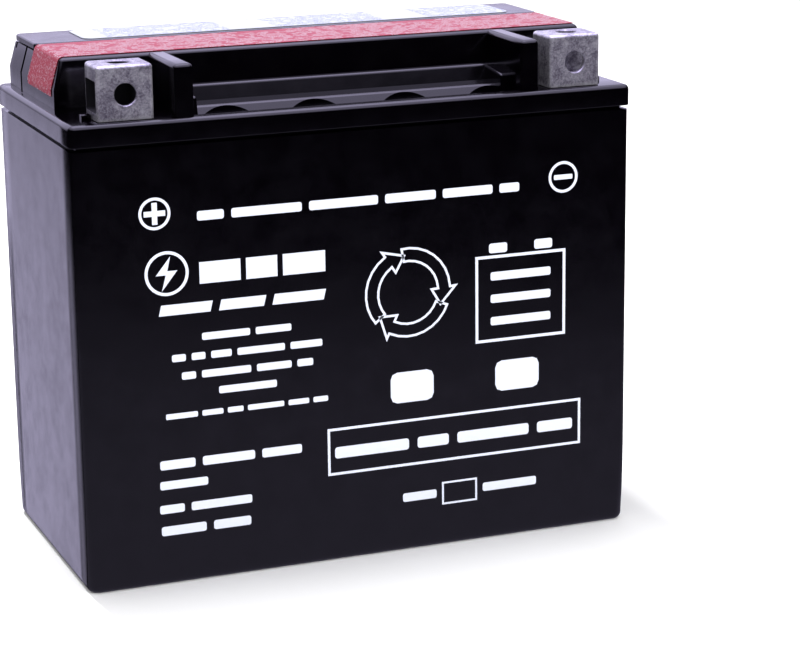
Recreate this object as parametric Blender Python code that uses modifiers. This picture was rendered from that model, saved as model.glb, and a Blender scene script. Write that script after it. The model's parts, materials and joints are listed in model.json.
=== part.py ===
"""A sealed 12 V motorcycle battery, built as its separate pieces.

X runs along the battery's length, Y from the front face to the back, Z up. The origin is the centre
of the underside. Every dimension below is in millimetres; MM turns it into Blender's metres.
"""
import math

import bmesh
import bpy
from mathutils import Matrix

MM = 0.001
GAP = 0.3                          # clearance that neighbouring pieces keep

# Whole battery
LENGTH, WIDTH, HEIGHT = 175.0, 87.0, 155.0

# Container
RIM_INSET = 0.35                   # tub's outer face behind the lid's skirt
RIM_Z = 131.4
WALL, FLOOR, PARTITION = 3.0, 3.2, 1.8
TUB_CORNER, TUB_FOOT = 2.2, 3.6    # corner radius and the radius under the tub
CELLS = 6

# Lid plate
SKIRT_Z, DECK_Z = 132.6, 139.0
LID_CORNER, LID_EDGE = 2.0, 1.6
WELD_INSET = 2.3                   # depth of the groove between skirt and tub
DECK_UNDER_Z = 134.2

# Raised block at the back of the lid
BLOCK_X, BLOCK_TOP_X = 85.0, 82.3
BLOCK_FRONT, BLOCK_TOP_FRONT, BLOCK_REAR = -18.7, -16.3, 37.2
FOLD_Z, BLOCK_TOP_Z = 145.3, 154.4
BLOCK_EDGE = 1.0

# Front recess between two fins
FIN_LEFT = (-56.2, -50.3)
FIN_RIGHT = (51.7, 57.5)
FIN_FRONT, FIN_TOP_Z = -42.4, 154.4
TROUGH = (-38.6, -33.0)
TROUGH_Z = 136.7
LEDGE = (-31.6, 140.4)             # front edge of the lower ledge: Y, Z
SHELF = (-22.0, 145.0)             # front edge of the upper shelf: Y, Z

# Cap strip and the step it lies on
STEP_Y, STEP_Z = 12.8, 152.7
STRIP_X, STRIP_FRONT, STRIP_REAR = 82.4, 13.2, 38.6
STRIP_UNDER_Z, STRIP_TOP_Z = 153.0, 154.7
PORT_Y, PORT_R = 25.0, 6.6
PLUG_LENGTH = 7.2
STRIP_ROOF_Z = 145.5               # roof of the gas space under the ports

# Vent: a valve over a nipple, a channel to the left end and a porous disc
VALVE_POCKET_R, VALVE_POCKET_Z = 5.4, 147.9
NIPPLE_R, NIPPLE_TOP_Z, NIPPLE_BORE_R = 2.5, 151.0, 0.9
VALVE_R, VALVE_WALL, VALVE_TOP_Z = 4.3, 1.2, 152.2
CHANNEL_Y, CHANNEL_WIDTH, CHANNEL_DEPTH = 33.8, 1.6, 1.7
ARRESTOR_R, ARRESTOR_HEIGHT = 3.7, 2.0
ARRESTOR_Y = 30.6
END_GROOVE_Y, END_GROOVE_WIDTH, END_GROOVE_DEPTH = 25.6, 1.1, 0.9

# Terminals
TERMINAL_X, TERMINAL_Y = 70.05, -34.05
TERMINAL_SIZE = (16.7, 12.9)
TERMINAL_LOW_Z, TERMINAL_TOP_Z = 139.2, 155.0
BOLT_R, BOLT_Z = 3.2, 146.6
NUT_SLOT_Y, NUT_SLOT_Z, NUT_SLOT_DEPTH = 10.2, (141.4, 150.5), 13.2
POST_R, BUSHING_R, BUSHING_BORE_R = 3.6, 5.0, 3.9
BUSHING_HOLE_R, BOSS_R = 5.3, 7.0
SEAL_POCKET_R, SEAL_POCKET_Z = 6.4, 137.2
SEAL_RING_R, SEAL_RADIUS = 5.7, 0.55

# Plates in each cell
PLATE_PITCH = 2.88
POSITIVE_PLATES, POSITIVE_THICK = 4, 1.8
NEGATIVE_PLATES, NEGATIVE_THICK = 5, 1.4
MAT_THICK = 0.7
PLATE_HALF_Y, PLATE_LOW_Z, PLATE_TOP_Z = 37.5, 5.2, 104.0
MAT_HALF_Y, MAT_LOW_Z, MAT_TOP_Z = 38.6, 3.7, 106.6
LUG_Y, LUG_HALF_Y = 32.0, 5.0
STRAP_HALF_X, STRAP_HALF_Y = 12.4, 6.0
STRAP_LOW_Z, STRAP_TOP_Z = 110.4, 115.0
TAB_X, TAB_HALF_Y, TAB_TOP_Z = (11.3, 12.95), 6.0, 124.5
WELD_Z, WELD_R, WELD_HOLE_R = 119.6, 3.6, 3.95

# Printed films
FILM, FILM_GAP = 0.15, 0.1
STRIP_LABEL = ((-66.5, 16.4), (74.0, 37.2))
STRIP_LABEL_CORNER = 3.0
BLOCK_LABEL_Y = (-15.1, 12.4)
BLOCK_LABEL_RIGHT, BLOCK_LABEL_LOW_Z = 81.6, 142.2

INNER_LENGTH = LENGTH - 2 * (RIM_INSET + WALL)
INNER_WIDTH = WIDTH - 2 * (RIM_INSET + WALL)
CELL_LENGTH = (INNER_LENGTH - (CELLS - 1) * PARTITION) / CELLS
CELL_PITCH = CELL_LENGTH + PARTITION
CELL_X = [(index - (CELLS - 1) / 2) * CELL_PITCH for index in range(CELLS)]

ACROSS = Matrix.Rotation(math.pi / 2, 4, "Y")                                   # local Z along X
SIDE_ON = Matrix(((0, 0, 1, 0), (1, 0, 0, 0), (0, 1, 0, 0), (0, 0, 0, 1)))       # outline in YZ
FRONT_ON = Matrix.Rotation(math.pi / 2, 4, "X")                                 # outline in XZ


def new_collection(name):
    made = bpy.data.collections.new(name)
    bpy.context.scene.collection.children.link(made)
    return made


def new_material(name, colour, roughness, metallic=0.0):
    made = bpy.data.materials.new(name)
    made.use_nodes = True
    shader = made.node_tree.nodes["Principled BSDF"]
    shader.inputs["Base Color"].default_value = (*colour, 1.0)
    shader.inputs["Roughness"].default_value = roughness
    shader.inputs["Metallic"].default_value = metallic
    return made


def at(x, y, z):
    return Matrix.Translation((x * MM, y * MM, z * MM))


def shape_object(name, shape, place, group, finish=None):
    """Turn a bmesh in millimetres into an object standing at place."""
    bmesh.ops.scale(shape, vec=(MM, MM, MM), verts=shape.verts)
    bmesh.ops.recalc_face_normals(shape, faces=shape.faces)
    mesh = bpy.data.meshes.new(name)
    shape.to_mesh(mesh)
    shape.free()
    made = bpy.data.objects.new(name, mesh)
    made.matrix_world = place
    group.objects.link(made)
    if finish:
        mesh.materials.append(finish)
    else:
        made.hide_render = True
        made.display_type = "WIRE"
    return made


def box(name, low, high, group, finish=None):
    """A box between two corners, its origin at its centre."""
    shape = bmesh.new()
    bmesh.ops.create_cube(shape, size=1.0)
    size = [b - a for a, b in zip(low, high)]
    bmesh.ops.scale(shape, vec=size, verts=shape.verts)
    return shape_object(name, shape, at(*[(a + b) / 2 for a, b in zip(low, high)]), group, finish)


def rod(name, radius, length, place, group, finish=None, sides=24):
    """A round bar along its local Z, its origin at its middle."""
    shape = bmesh.new()
    bmesh.ops.create_cone(shape, cap_ends=True, segments=sides, radius1=radius, radius2=radius, depth=length)
    return shape_object(name, shape, place, group, finish)


def outline_solid(name, points, depth, place, group, finish=None):
    """A flat outline in its local XY plane, filled and given a depth along local Z."""
    curve = bpy.data.curves.new(name, "CURVE")
    curve.dimensions = "2D"
    curve.fill_mode = "BOTH"
    curve.extrude = depth / 2
    spline = curve.splines.new("POLY")
    spline.points.add(len(points) - 1)
    for point, (x, y) in zip(spline.points, points):
        point.co = (x, y, 0.0, 1.0)
    spline.use_cyclic_u = True
    guide = bpy.data.objects.new(name + "_outline", curve)
    group.objects.link(guide)
    evaluated = guide.evaluated_get(bpy.context.evaluated_depsgraph_get())
    flat = bpy.data.meshes.new_from_object(evaluated)
    shape = bmesh.new()
    shape.from_mesh(flat)
    bmesh.ops.remove_doubles(shape, verts=shape.verts, dist=0.001)
    bmesh.ops.dissolve_limit(shape, angle_limit=0.001, verts=shape.verts, edges=shape.edges)
    bpy.data.objects.remove(guide)
    bpy.data.meshes.remove(flat)
    return shape_object(name, shape, place, group, finish)


def turned(name, profile, place, group, finish=None, sides=24):
    """A closed profile of (radius, height) turned about local Z by a Screw modifier."""
    shape = bmesh.new()
    corners = [shape.verts.new((radius, 0.0, height)) for radius, height in profile]
    for index in range(len(profile)):
        if profile[index - 1][0] > 0 or profile[index][0] > 0:
            shape.edges.new((corners[index - 1], corners[index]))
    made = shape_object(name, shape, place, group, finish)
    screw = made.modifiers.new("turn", "SCREW")
    screw.steps = screw.render_steps = sides
    screw.use_merge_vertices = True
    screw.merge_threshold = 0.00001
    return made


def combine(target, helper, operation):
    join = target.modifiers.new(helper.name, "BOOLEAN")
    join.operation = operation
    join.object = helper
    join.solver = "EXACT"


def cut(target, *helpers):
    for helper in helpers:
        combine(target, helper, "DIFFERENCE")


def add(target, *helpers):
    for helper in helpers:
        combine(target, helper, "UNION")


def round_edges(target, width, segments, wanted):
    """Round the edges whose middle and direction, in world millimetres, pass the test."""
    mesh = target.data
    weights = mesh.attributes.new("bevel_weight_edge", "FLOAT", "EDGE")
    for edge in mesh.edges:
        first, second = [target.matrix_world @ mesh.vertices[index].co / MM for index in edge.vertices]
        if wanted((first + second) / 2, (second - first).normalized()):
            weights.data[edge.index].value = 1.0
    bevel = target.modifiers.new("round", "BEVEL")
    bevel.limit_method = "WEIGHT"
    bevel.width = width * MM
    bevel.segments = segments


def container(group, cutters, finish):
    half_x, half_y = LENGTH / 2 - RIM_INSET, WIDTH / 2 - RIM_INSET
    tub = box("container", (-half_x, -half_y, 0), (half_x, half_y, RIM_Z), group, finish)
    round_edges(tub, TUB_CORNER, 3, lambda middle, way: abs(way.z) > 0.9)
    foot = tub.modifiers.new("foot", "BEVEL")
    foot.limit_method = "VGROUP"
    foot.width = TUB_FOOT * MM
    foot.segments = 3
    low = tub.vertex_groups.new(name="foot")
    low.add([vertex.index for vertex in tub.data.vertices if vertex.co.z < 0], 1.0, "REPLACE")
    foot.vertex_group = low.name
    tub.modifiers.move(1, 0)
    for index, x in enumerate(CELL_X):
        low_corner = (x - CELL_LENGTH / 2, -INNER_WIDTH / 2, FLOOR)
        high_corner = (x + CELL_LENGTH / 2, INNER_WIDTH / 2, RIM_Z + 5)
        cut(tub, box(f"cell_space_{index + 1}", low_corner, high_corner, cutters))
    for index, (x, y) in enumerate(weld_places()):
        place = at(x, y, WELD_Z) @ ACROSS
        cut(tub, rod(f"weld_hole_{index + 1}", WELD_HOLE_R, PARTITION + 2, place, cutters, sides=16))
    return tub


def weld_places():
    """Where neighbouring cells join through a partition, at the back and the front in turn."""
    return [(x + CELL_PITCH / 2, LUG_Y if index % 2 == 0 else -LUG_Y)
            for index, x in enumerate(CELL_X[:-1])]


def block_shape(cutters):
    """The raised block: upright sides to the fold, then ends that lean in."""
    shape = bmesh.new()
    bmesh.ops.create_cube(shape, size=1.0)
    low_z = DECK_Z - 3
    for vertex in shape.verts:
        vertex.co.x *= 2 * BLOCK_X
        vertex.co.y = BLOCK_REAR if vertex.co.y > 0 else BLOCK_FRONT
        vertex.co.z = FOLD_Z if vertex.co.z > 0 else low_z
    top = max(shape.faces, key=lambda face: face.calc_center_median().z)
    raised = bmesh.ops.extrude_face_region(shape, geom=[top])["geom"]
    bmesh.ops.delete(shape, geom=[top], context="FACES_ONLY")
    for vertex in [item for item in raised if isinstance(item, bmesh.types.BMVert)]:
        vertex.co.z = BLOCK_TOP_Z
        vertex.co.x *= BLOCK_TOP_X / BLOCK_X
        vertex.co.y = BLOCK_REAR if vertex.co.y > 0 else BLOCK_TOP_FRONT
    made = shape_object("block_shape", shape, Matrix(), cutters)
    round_edges(made, BLOCK_EDGE, 2, lambda middle, way: middle.z > low_z + 1 and
                (abs(way.z) > 0.5 or middle.z > FOLD_Z + 2))
    return made


def fin_shape(name, across, cutters):
    made = box(name, (across[0], FIN_FRONT, DECK_Z - 2), (across[1], BLOCK_FRONT + 4, FIN_TOP_Z), cutters)
    round_edges(made, 1.0, 2, lambda middle, way: middle.z > DECK_Z and middle.y < BLOCK_FRONT + 3)
    return made


def recess_steps(cutters):
    """The ledge and the shelf at the back of the grip recess, as one side-on outline."""
    outline = [(TROUGH[1], TROUGH_Z - 1), (LEDGE[0] - 0.4, LEDGE[1] - 0.6), (LEDGE[0], LEDGE[1]),
               (SHELF[0] - 1.6, LEDGE[1] + 0.3), (SHELF[0], SHELF[1]), (BLOCK_FRONT + 2, SHELF[1]),
               (BLOCK_FRONT + 2, TROUGH_Z - 1)]
    middle = (FIN_LEFT[1] + FIN_RIGHT[0]) / 2
    span = FIN_RIGHT[0] - FIN_LEFT[1] + 2
    return outline_solid("recess_steps", outline, span, at(middle, 0, 0) @ SIDE_ON, cutters)


def lid_cell_space(index, x, cutters):
    """The gas space over one cell, side on: shallow under the deck, high under the block."""
    half_y = INNER_WIDTH / 2
    low_z = SKIRT_Z - 3
    outline = [(-half_y, low_z), (half_y, low_z), (half_y, DECK_UNDER_Z), (BLOCK_REAR - 2.6, DECK_UNDER_Z),
               (BLOCK_REAR - 2.6, STRIP_ROOF_Z), (STEP_Y - 2.6, STRIP_ROOF_Z),
               (STEP_Y - 2.6, BLOCK_TOP_Z - 2.6), (BLOCK_TOP_FRONT + 2.6, BLOCK_TOP_Z - 2.6),
               (BLOCK_FRONT + 2.6, DECK_UNDER_Z), (-half_y, DECK_UNDER_Z)]
    limit = BLOCK_TOP_X - 2.0
    low_x, high_x = max(x - CELL_LENGTH / 2, -limit), min(x + CELL_LENGTH / 2, limit)
    place = at((low_x + high_x) / 2, 0, 0) @ SIDE_ON
    return outline_solid(f"lid_space_{index + 1}", outline, high_x - low_x, place, cutters)


def lid(group, cutters, finish):
    half_x, half_y = LENGTH / 2, WIDTH / 2
    plate = box("lid", (-half_x, -half_y, SKIRT_Z), (half_x, half_y, DECK_Z), group, finish)
    round_edges(plate, LID_EDGE, 3, lambda middle, way: abs(way.z) > 0.9 or middle.z > DECK_Z - 0.5)
    weld_x, weld_y = half_x - WELD_INSET, half_y - WELD_INSET
    add(plate, box("weld_rib", (-weld_x, -weld_y, RIM_Z + GAP), (weld_x, weld_y, SKIRT_Z + 1), cutters),
        block_shape(cutters))
    trough_low = (FIN_LEFT[1] - 1, TROUGH[0], TROUGH_Z)
    cut(plate, box("trough", trough_low, (FIN_RIGHT[0] + 1, TROUGH[1] + 3, DECK_Z + 2), cutters))
    add(plate, fin_shape("fin_left", FIN_LEFT, cutters), fin_shape("fin_right", FIN_RIGHT, cutters),
        recess_steps(cutters))
    for index, x in enumerate(CELL_X):
        cut(plate, lid_cell_space(index, x, cutters))
    cut_strip_step(plate, cutters)
    cut_vent(plate, cutters)
    for side in (-1, 1):
        fit_terminal_seat(plate, side, cutters)
    return plate


def cut_strip_step(plate, cutters):
    reach = LENGTH / 2 + 5
    cut(plate, box("strip_step", (-reach, STEP_Y, STEP_Z), (reach, WIDTH / 2 + 5, HEIGHT + 5), cutters))
    for index, x in enumerate(CELL_X):
        middle_z = (STRIP_ROOF_Z + STEP_Z) / 2
        cut(plate, rod(f"port_{index + 1}", PORT_R, 16, at(x, PORT_Y, middle_z), cutters))


def cut_vent(plate, cutters):
    """The valve's pocket round its nipple, the channel to the left end and the arrestor's pocket."""
    pocket = [(NIPPLE_R, VALVE_POCKET_Z), (VALVE_POCKET_R, VALVE_POCKET_Z), (VALVE_POCKET_R, HEIGHT),
              (0.0, HEIGHT), (0.0, NIPPLE_TOP_Z), (NIPPLE_R, NIPPLE_TOP_Z)]
    cut(plate, turned("valve_pocket", pocket[::-1], at(0, PORT_Y, 0), cutters))
    cut(plate, rod("nipple_bore", NIPPLE_BORE_R, 16, at(0, PORT_Y, STRIP_ROOF_Z + 2), cutters, sides=12))
    bottom = STEP_Z - CHANNEL_DEPTH
    rear, front = CHANNEL_Y + CHANNEL_WIDTH / 2, CHANNEL_Y - CHANNEL_WIDTH / 2
    half = CHANNEL_WIDTH / 2
    cut(plate, box("vent_channel", (-LENGTH / 2, front, bottom), (half, rear, HEIGHT), cutters),
        box("valve_branch", (-half, PORT_Y + 3, bottom + 0.1), (half, rear - 0.1, HEIGHT + 1), cutters))
    x = CELL_X[0] + CELL_PITCH / 2
    top = STEP_Z - ARRESTOR_HEIGHT - 2 * GAP
    cut(plate, rod("arrestor_pocket", ARRESTOR_R + GAP, 10, at(x, ARRESTOR_Y, top + 5), cutters))
    y = END_GROOVE_Y - END_GROOVE_WIDTH / 2
    groove = box("end_groove", (-BLOCK_X - 5, y, DECK_Z + 0.2), (0, y + END_GROOVE_WIDTH, HEIGHT), cutters)
    core = block_core(cutters)
    cut(groove, core)
    cut(plate, groove)


def block_core(cutters):
    """The block's end faces moved in by the groove's depth, to leave a groove of even depth."""
    x, top_x = BLOCK_X - END_GROOVE_DEPTH, BLOCK_TOP_X - END_GROOVE_DEPTH
    outline = [(-x, DECK_Z - 5), (-x, FOLD_Z), (-top_x, BLOCK_TOP_Z), (-top_x, HEIGHT + 9), (x, HEIGHT + 9),
               (x, DECK_Z - 5)]
    return outline_solid("block_core", outline, WIDTH, FRONT_ON, cutters)


def fit_terminal_seat(plate, side, cutters):
    """A boss under the deck and a stepped hole for the bushing and its seal."""
    tag = "positive" if side < 0 else "negative"
    x = side * TERMINAL_X
    height = DECK_UNDER_Z + 0.6 - (RIM_Z + GAP)
    boss = rod(f"{tag}_boss", BOSS_R, height, at(x, TERMINAL_Y, RIM_Z + GAP + height / 2), cutters)
    hole = rod(f"{tag}_hole", BUSHING_HOLE_R, 20, at(x, TERMINAL_Y, DECK_Z - 3), cutters)
    pocket = rod(f"{tag}_pocket", SEAL_POCKET_R, 6, at(x, TERMINAL_Y, SEAL_POCKET_Z + 3), cutters)
    add(plate, boss)
    cut(plate, hole, pocket)


def cap_strip(group, cutters, finish):
    low = (-STRIP_X, STRIP_FRONT, STRIP_UNDER_Z)
    strip = box("cap_strip", low, (STRIP_X, STRIP_REAR, STRIP_TOP_Z), group, finish)
    round_edges(strip, 0.6, 2, lambda middle, way: middle.z > STRIP_UNDER_Z + 0.1)
    radius = PORT_R - GAP
    top, tip = STRIP_UNDER_Z + 0.8, STRIP_UNDER_Z - PLUG_LENGTH
    plug = [(0.0, top), (radius, top), (radius, tip + 1.5), (radius - 0.5, tip), (radius - 1.6, tip),
            (radius - 1.6, STRIP_UNDER_Z - 0.6), (0.0, STRIP_UNDER_Z - 0.6)]
    for index, x in enumerate(CELL_X):
        add(strip, turned(f"plug_{index + 1}", plug, at(x, PORT_Y, 0), cutters))
    return strip


def relief_valve(group, finish):
    """A rubber cap with an open skirt, over the nipple."""
    low = VALVE_POCKET_Z + GAP
    roof = NIPPLE_TOP_Z + GAP
    inner = VALVE_R - VALVE_WALL
    profile = [(0.0, VALVE_TOP_Z), (VALVE_R - 0.5, VALVE_TOP_Z), (VALVE_R, VALVE_TOP_Z - 0.5), (VALVE_R, low),
               (inner, low), (inner, roof), (0.0, roof)]
    profile = [(radius, height - low) for radius, height in profile]
    return turned("relief_valve", profile, at(0, PORT_Y, low), group, finish)


def flame_arrestor(group, finish):
    x = CELL_X[0] + CELL_PITCH / 2
    z = STEP_Z - GAP - ARRESTOR_HEIGHT / 2
    return rod("flame_arrestor", ARRESTOR_R, ARRESTOR_HEIGHT, at(x, ARRESTOR_Y, z), group, finish)


def terminal(name, side, group, cutters, finish):
    """A cast block with a nut slot open on its outer side and a bolt hole in its front and top."""
    centre_x = side * TERMINAL_X
    half_x, half_y = TERMINAL_SIZE[0] / 2, TERMINAL_SIZE[1] / 2
    low = (centre_x - half_x, TERMINAL_Y - half_y, TERMINAL_LOW_Z)
    high = (centre_x + half_x, TERMINAL_Y + half_y, TERMINAL_TOP_Z)
    block = box(name, low, high, group, finish)
    round_edges(block, 0.9, 2, lambda middle, way: middle.z > TERMINAL_LOW_Z + 1)
    inner_x = centre_x + side * (half_x - NUT_SLOT_DEPTH)
    outer_x = centre_x + side * (half_x + 2)
    slot = box(f"{name}_slot", (min(inner_x, outer_x), TERMINAL_Y - NUT_SLOT_Y / 2, NUT_SLOT_Z[0]),
               (max(inner_x, outer_x), TERMINAL_Y + NUT_SLOT_Y / 2, NUT_SLOT_Z[1]), cutters)
    front_hole = rod(f"{name}_front_hole", BOLT_R, half_y + 2, at(centre_x, low[1] + half_y / 2 - 1, BOLT_Z) @
                     FRONT_ON, cutters)
    top_hole = rod(f"{name}_top_hole", BOLT_R, 8, at(centre_x, TERMINAL_Y, TERMINAL_TOP_Z - 1), cutters)
    cut(block, slot, front_hole, top_hole)
    return block


def terminal_stack(tag, side, group, finishes):
    """The post, its bushing in the lid and the rubber ring between bushing and lid."""
    x = side * TERMINAL_X
    foot, top = STRAP_TOP_Z + GAP, TERMINAL_LOW_Z - GAP - 0.2
    post = [(0.0, top), (POST_R, top), (POST_R, foot + 4), (POST_R + 1.6, foot + 2), (POST_R + 1.6, foot),
            (0.0, foot)]
    post = [(radius, height - foot) for radius, height in post]
    turned(f"{tag}_post", post, at(x, TERMINAL_Y, foot), group, finishes["lead"])
    low, high = RIM_Z - 3.0, TERMINAL_LOW_Z - GAP
    ring = [(BUSHING_R, high), (BUSHING_R, low), (BUSHING_BORE_R, low), (BUSHING_BORE_R, high)]
    ring = [(radius, height - low) for radius, height in ring]
    turned(f"{tag}_bushing", ring, at(x, TERMINAL_Y, low), group, finishes["lead"])
    seal_z = SEAL_POCKET_Z + GAP + SEAL_RADIUS
    seal = [(SEAL_RING_R + SEAL_RADIUS * math.cos(turn), SEAL_RADIUS * math.sin(turn))
            for turn in [-2 * math.pi * step / 10 for step in range(10)]]
    turned(f"{tag}_post_seal", seal, at(x, TERMINAL_Y, seal_z), group, finishes["rubber"])


def plate_offsets(count):
    """Plate centres in one cell; the two kinds interleave."""
    first = -(count - 1)
    return [(first + 2 * index) * PLATE_PITCH for index in range(count)]


def plate_group(name, cell_x, count, thick, side, tab, group, cutters, finish):
    """Plates with lugs under one cast strap. tab is -1 or 1 for the partition it welds to, else 0."""
    strap_low = (cell_x - STRAP_HALF_X, side * LUG_Y - STRAP_HALF_Y, STRAP_LOW_Z)
    strap_high = (cell_x + STRAP_HALF_X, side * LUG_Y + STRAP_HALF_Y, STRAP_TOP_Z)
    strap = box(name, strap_low, strap_high, group, finish)
    for index, offset in enumerate(plate_offsets(count)):
        low_x, high_x = cell_x + offset - thick / 2, cell_x + offset + thick / 2
        lug_low, lug_high = side * LUG_Y - LUG_HALF_Y, side * LUG_Y + LUG_HALF_Y
        outline = [(-PLATE_HALF_Y, PLATE_LOW_Z), (PLATE_HALF_Y, PLATE_LOW_Z), (PLATE_HALF_Y, PLATE_TOP_Z),
                   (lug_high, PLATE_TOP_Z), (lug_high, STRAP_LOW_Z + 1), (lug_low, STRAP_LOW_Z + 1),
                   (lug_low, PLATE_TOP_Z), (-PLATE_HALF_Y, PLATE_TOP_Z)]
        place = at((low_x + high_x) / 2, 0, 0) @ SIDE_ON
        add(strap, outline_solid(f"{name}_plate_{index + 1}", outline, thick, place, cutters))
    if tab:
        near, far = sorted((cell_x + tab * TAB_X[0], cell_x + tab * TAB_X[1]))
        tab_low = (near, side * LUG_Y - TAB_HALF_Y + 0.5, STRAP_LOW_Z + 0.5)
        tab_high = (far, side * LUG_Y + TAB_HALF_Y - 0.5, TAB_TOP_Z)
        add(strap, box(f"{name}_tab", tab_low, tab_high, cutters))
    return strap


def separator_pack(name, cell_x, group, finish):
    """Glass mat between all the plates, folded together under them."""
    gaps = [(index - 3.5) * PLATE_PITCH for index in range(8)]
    shift = (POSITIVE_THICK - NEGATIVE_THICK) / 4
    outline = [(gaps[0] - MAT_THICK / 2, MAT_LOW_Z), (gaps[-1] + MAT_THICK / 2, MAT_LOW_Z)]
    web = MAT_LOW_Z + 1.0
    for index in reversed(range(len(gaps))):
        centre = gaps[index] - (shift if index % 2 else -shift)
        right, left = centre + MAT_THICK / 2, centre - MAT_THICK / 2
        if index < len(gaps) - 1:
            outline.append((right, web))
        outline += [(right, MAT_TOP_Z), (left, MAT_TOP_Z)]
        if index > 0:
            outline.append((left, web))
    first = outline.index((gaps[0] - MAT_THICK / 2, MAT_LOW_Z))
    outline[first] = (outline[-1][0], MAT_LOW_Z)
    outline[first + 1] = (outline[2][0], MAT_LOW_Z)
    return outline_solid(name, outline, 2 * MAT_HALF_Y, at(cell_x, 0, 0) @ FRONT_ON, group, finish)


def cell_stacks(group, cutters, finishes):
    """Even cells have their positive strap at the front, odd cells at the back."""
    last = CELLS - 1
    for index, x in enumerate(CELL_X):
        front = -1 if index % 2 == 0 else 1
        tag = index + 1
        plate_group(f"positive_plates_{tag}", x, POSITIVE_PLATES, POSITIVE_THICK, front,
                    -1 if index > 0 else 0, group, cutters, finishes["oxide"])
        plate_group(f"negative_plates_{tag}", x, NEGATIVE_PLATES, NEGATIVE_THICK, -front,
                    1 if index < last else 0, group, cutters, finishes["lead"])
        separator_pack(f"separator_{tag}", x, group, finishes["mat"])
    for index, (x, y) in enumerate(weld_places()):
        rod(f"intercell_weld_{index + 1}", WELD_R, PARTITION, at(x, y, WELD_Z) @ ACROSS, group,
            finishes["lead"], sides=16)


def strip_label(group, finish):
    """White film on the cap strip, with rounded corners."""
    (low_x, low_y), (high_x, high_y) = STRIP_LABEL
    r = STRIP_LABEL_CORNER
    corners = [(high_x - r, high_y - r, 0), (low_x + r, high_y - r, 90), (low_x + r, low_y + r, 180),
               (high_x - r, low_y + r, 270)]
    outline = []
    for x, y, start in corners:
        for turn in (start, start + 45, start + 90):
            outline.append((x + r * math.cos(math.radians(turn)), y + r * math.sin(math.radians(turn))))
    z = STRIP_TOP_Z + FILM_GAP / 2 + FILM / 2
    return outline_solid("strip_label", outline, FILM, at(0, 0, z), group, finish)


def block_label(group, finish):
    """Red film along the block's top, folded down over its left end."""
    def path(out):
        lean = (BLOCK_X - BLOCK_TOP_X) / (BLOCK_TOP_Z - FOLD_Z)
        slope = math.hypot(1, lean)
        top = BLOCK_TOP_Z + out
        at_fold = -BLOCK_X - out
        corner = -(BLOCK_TOP_X + out * slope - out * lean)
        return [(BLOCK_LABEL_RIGHT, top), (corner, top), (at_fold, FOLD_Z), (at_fold, BLOCK_LABEL_LOW_Z)]
    outline = path(FILM_GAP) + path(FILM_GAP + FILM)[::-1]
    middle = sum(BLOCK_LABEL_Y) / 2
    depth = BLOCK_LABEL_Y[1] - BLOCK_LABEL_Y[0]
    return outline_solid("block_label", outline, depth, at(0, middle, 0) @ FRONT_ON, group, finish)


def build():
    for obj in list(bpy.data.objects):
        bpy.data.objects.remove(obj, do_unlink=True)
    parts = new_collection("motorcycle_battery")
    cutters = new_collection("cutters")
    finishes = {
        "plastic": new_material("black_polypropylene", (0.012, 0.012, 0.014), 0.22),
        "strip": new_material("dark_polypropylene", (0.02, 0.02, 0.024), 0.3),
        "lead": new_material("cast_lead_alloy", (0.42, 0.42, 0.45), 0.45, 1.0),
        "oxide": new_material("lead_dioxide_paste", (0.16, 0.07, 0.04), 0.9),
        "mat": new_material("glass_mat", (0.8, 0.8, 0.78), 0.95),
        "rubber": new_material("black_rubber", (0.02, 0.02, 0.02), 0.7),
        "porous": new_material("porous_polypropylene", (0.7, 0.7, 0.68), 0.9),
        "white": new_material("white_film", (0.85, 0.86, 0.9), 0.4),
        "red": new_material("red_film", (0.45, 0.06, 0.09), 0.4),
    }
    container(parts, cutters, finishes["plastic"])
    lid(parts, cutters, finishes["plastic"])
    cap_strip(parts, cutters, finishes["strip"])
    relief_valve(parts, finishes["rubber"])
    flame_arrestor(parts, finishes["porous"])
    for tag, side in (("positive", -1), ("negative", 1)):
        terminal(f"{tag}_terminal", side, parts, cutters, finishes["lead"])
        terminal_stack(tag, side, parts, finishes)
    cell_stacks(parts, cutters, finishes)
    strip_label(parts, finishes["white"])
    block_label(parts, finishes["red"])


build()
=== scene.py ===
"""Gives a sealed motorcycle battery its finished look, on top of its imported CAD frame.

X runs along the battery, Y from its front face to the back, Z up, with the origin under its middle.
Pieces are modelled in millimetres by the helpers below, which turn them into Blender's metres.
"""

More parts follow.
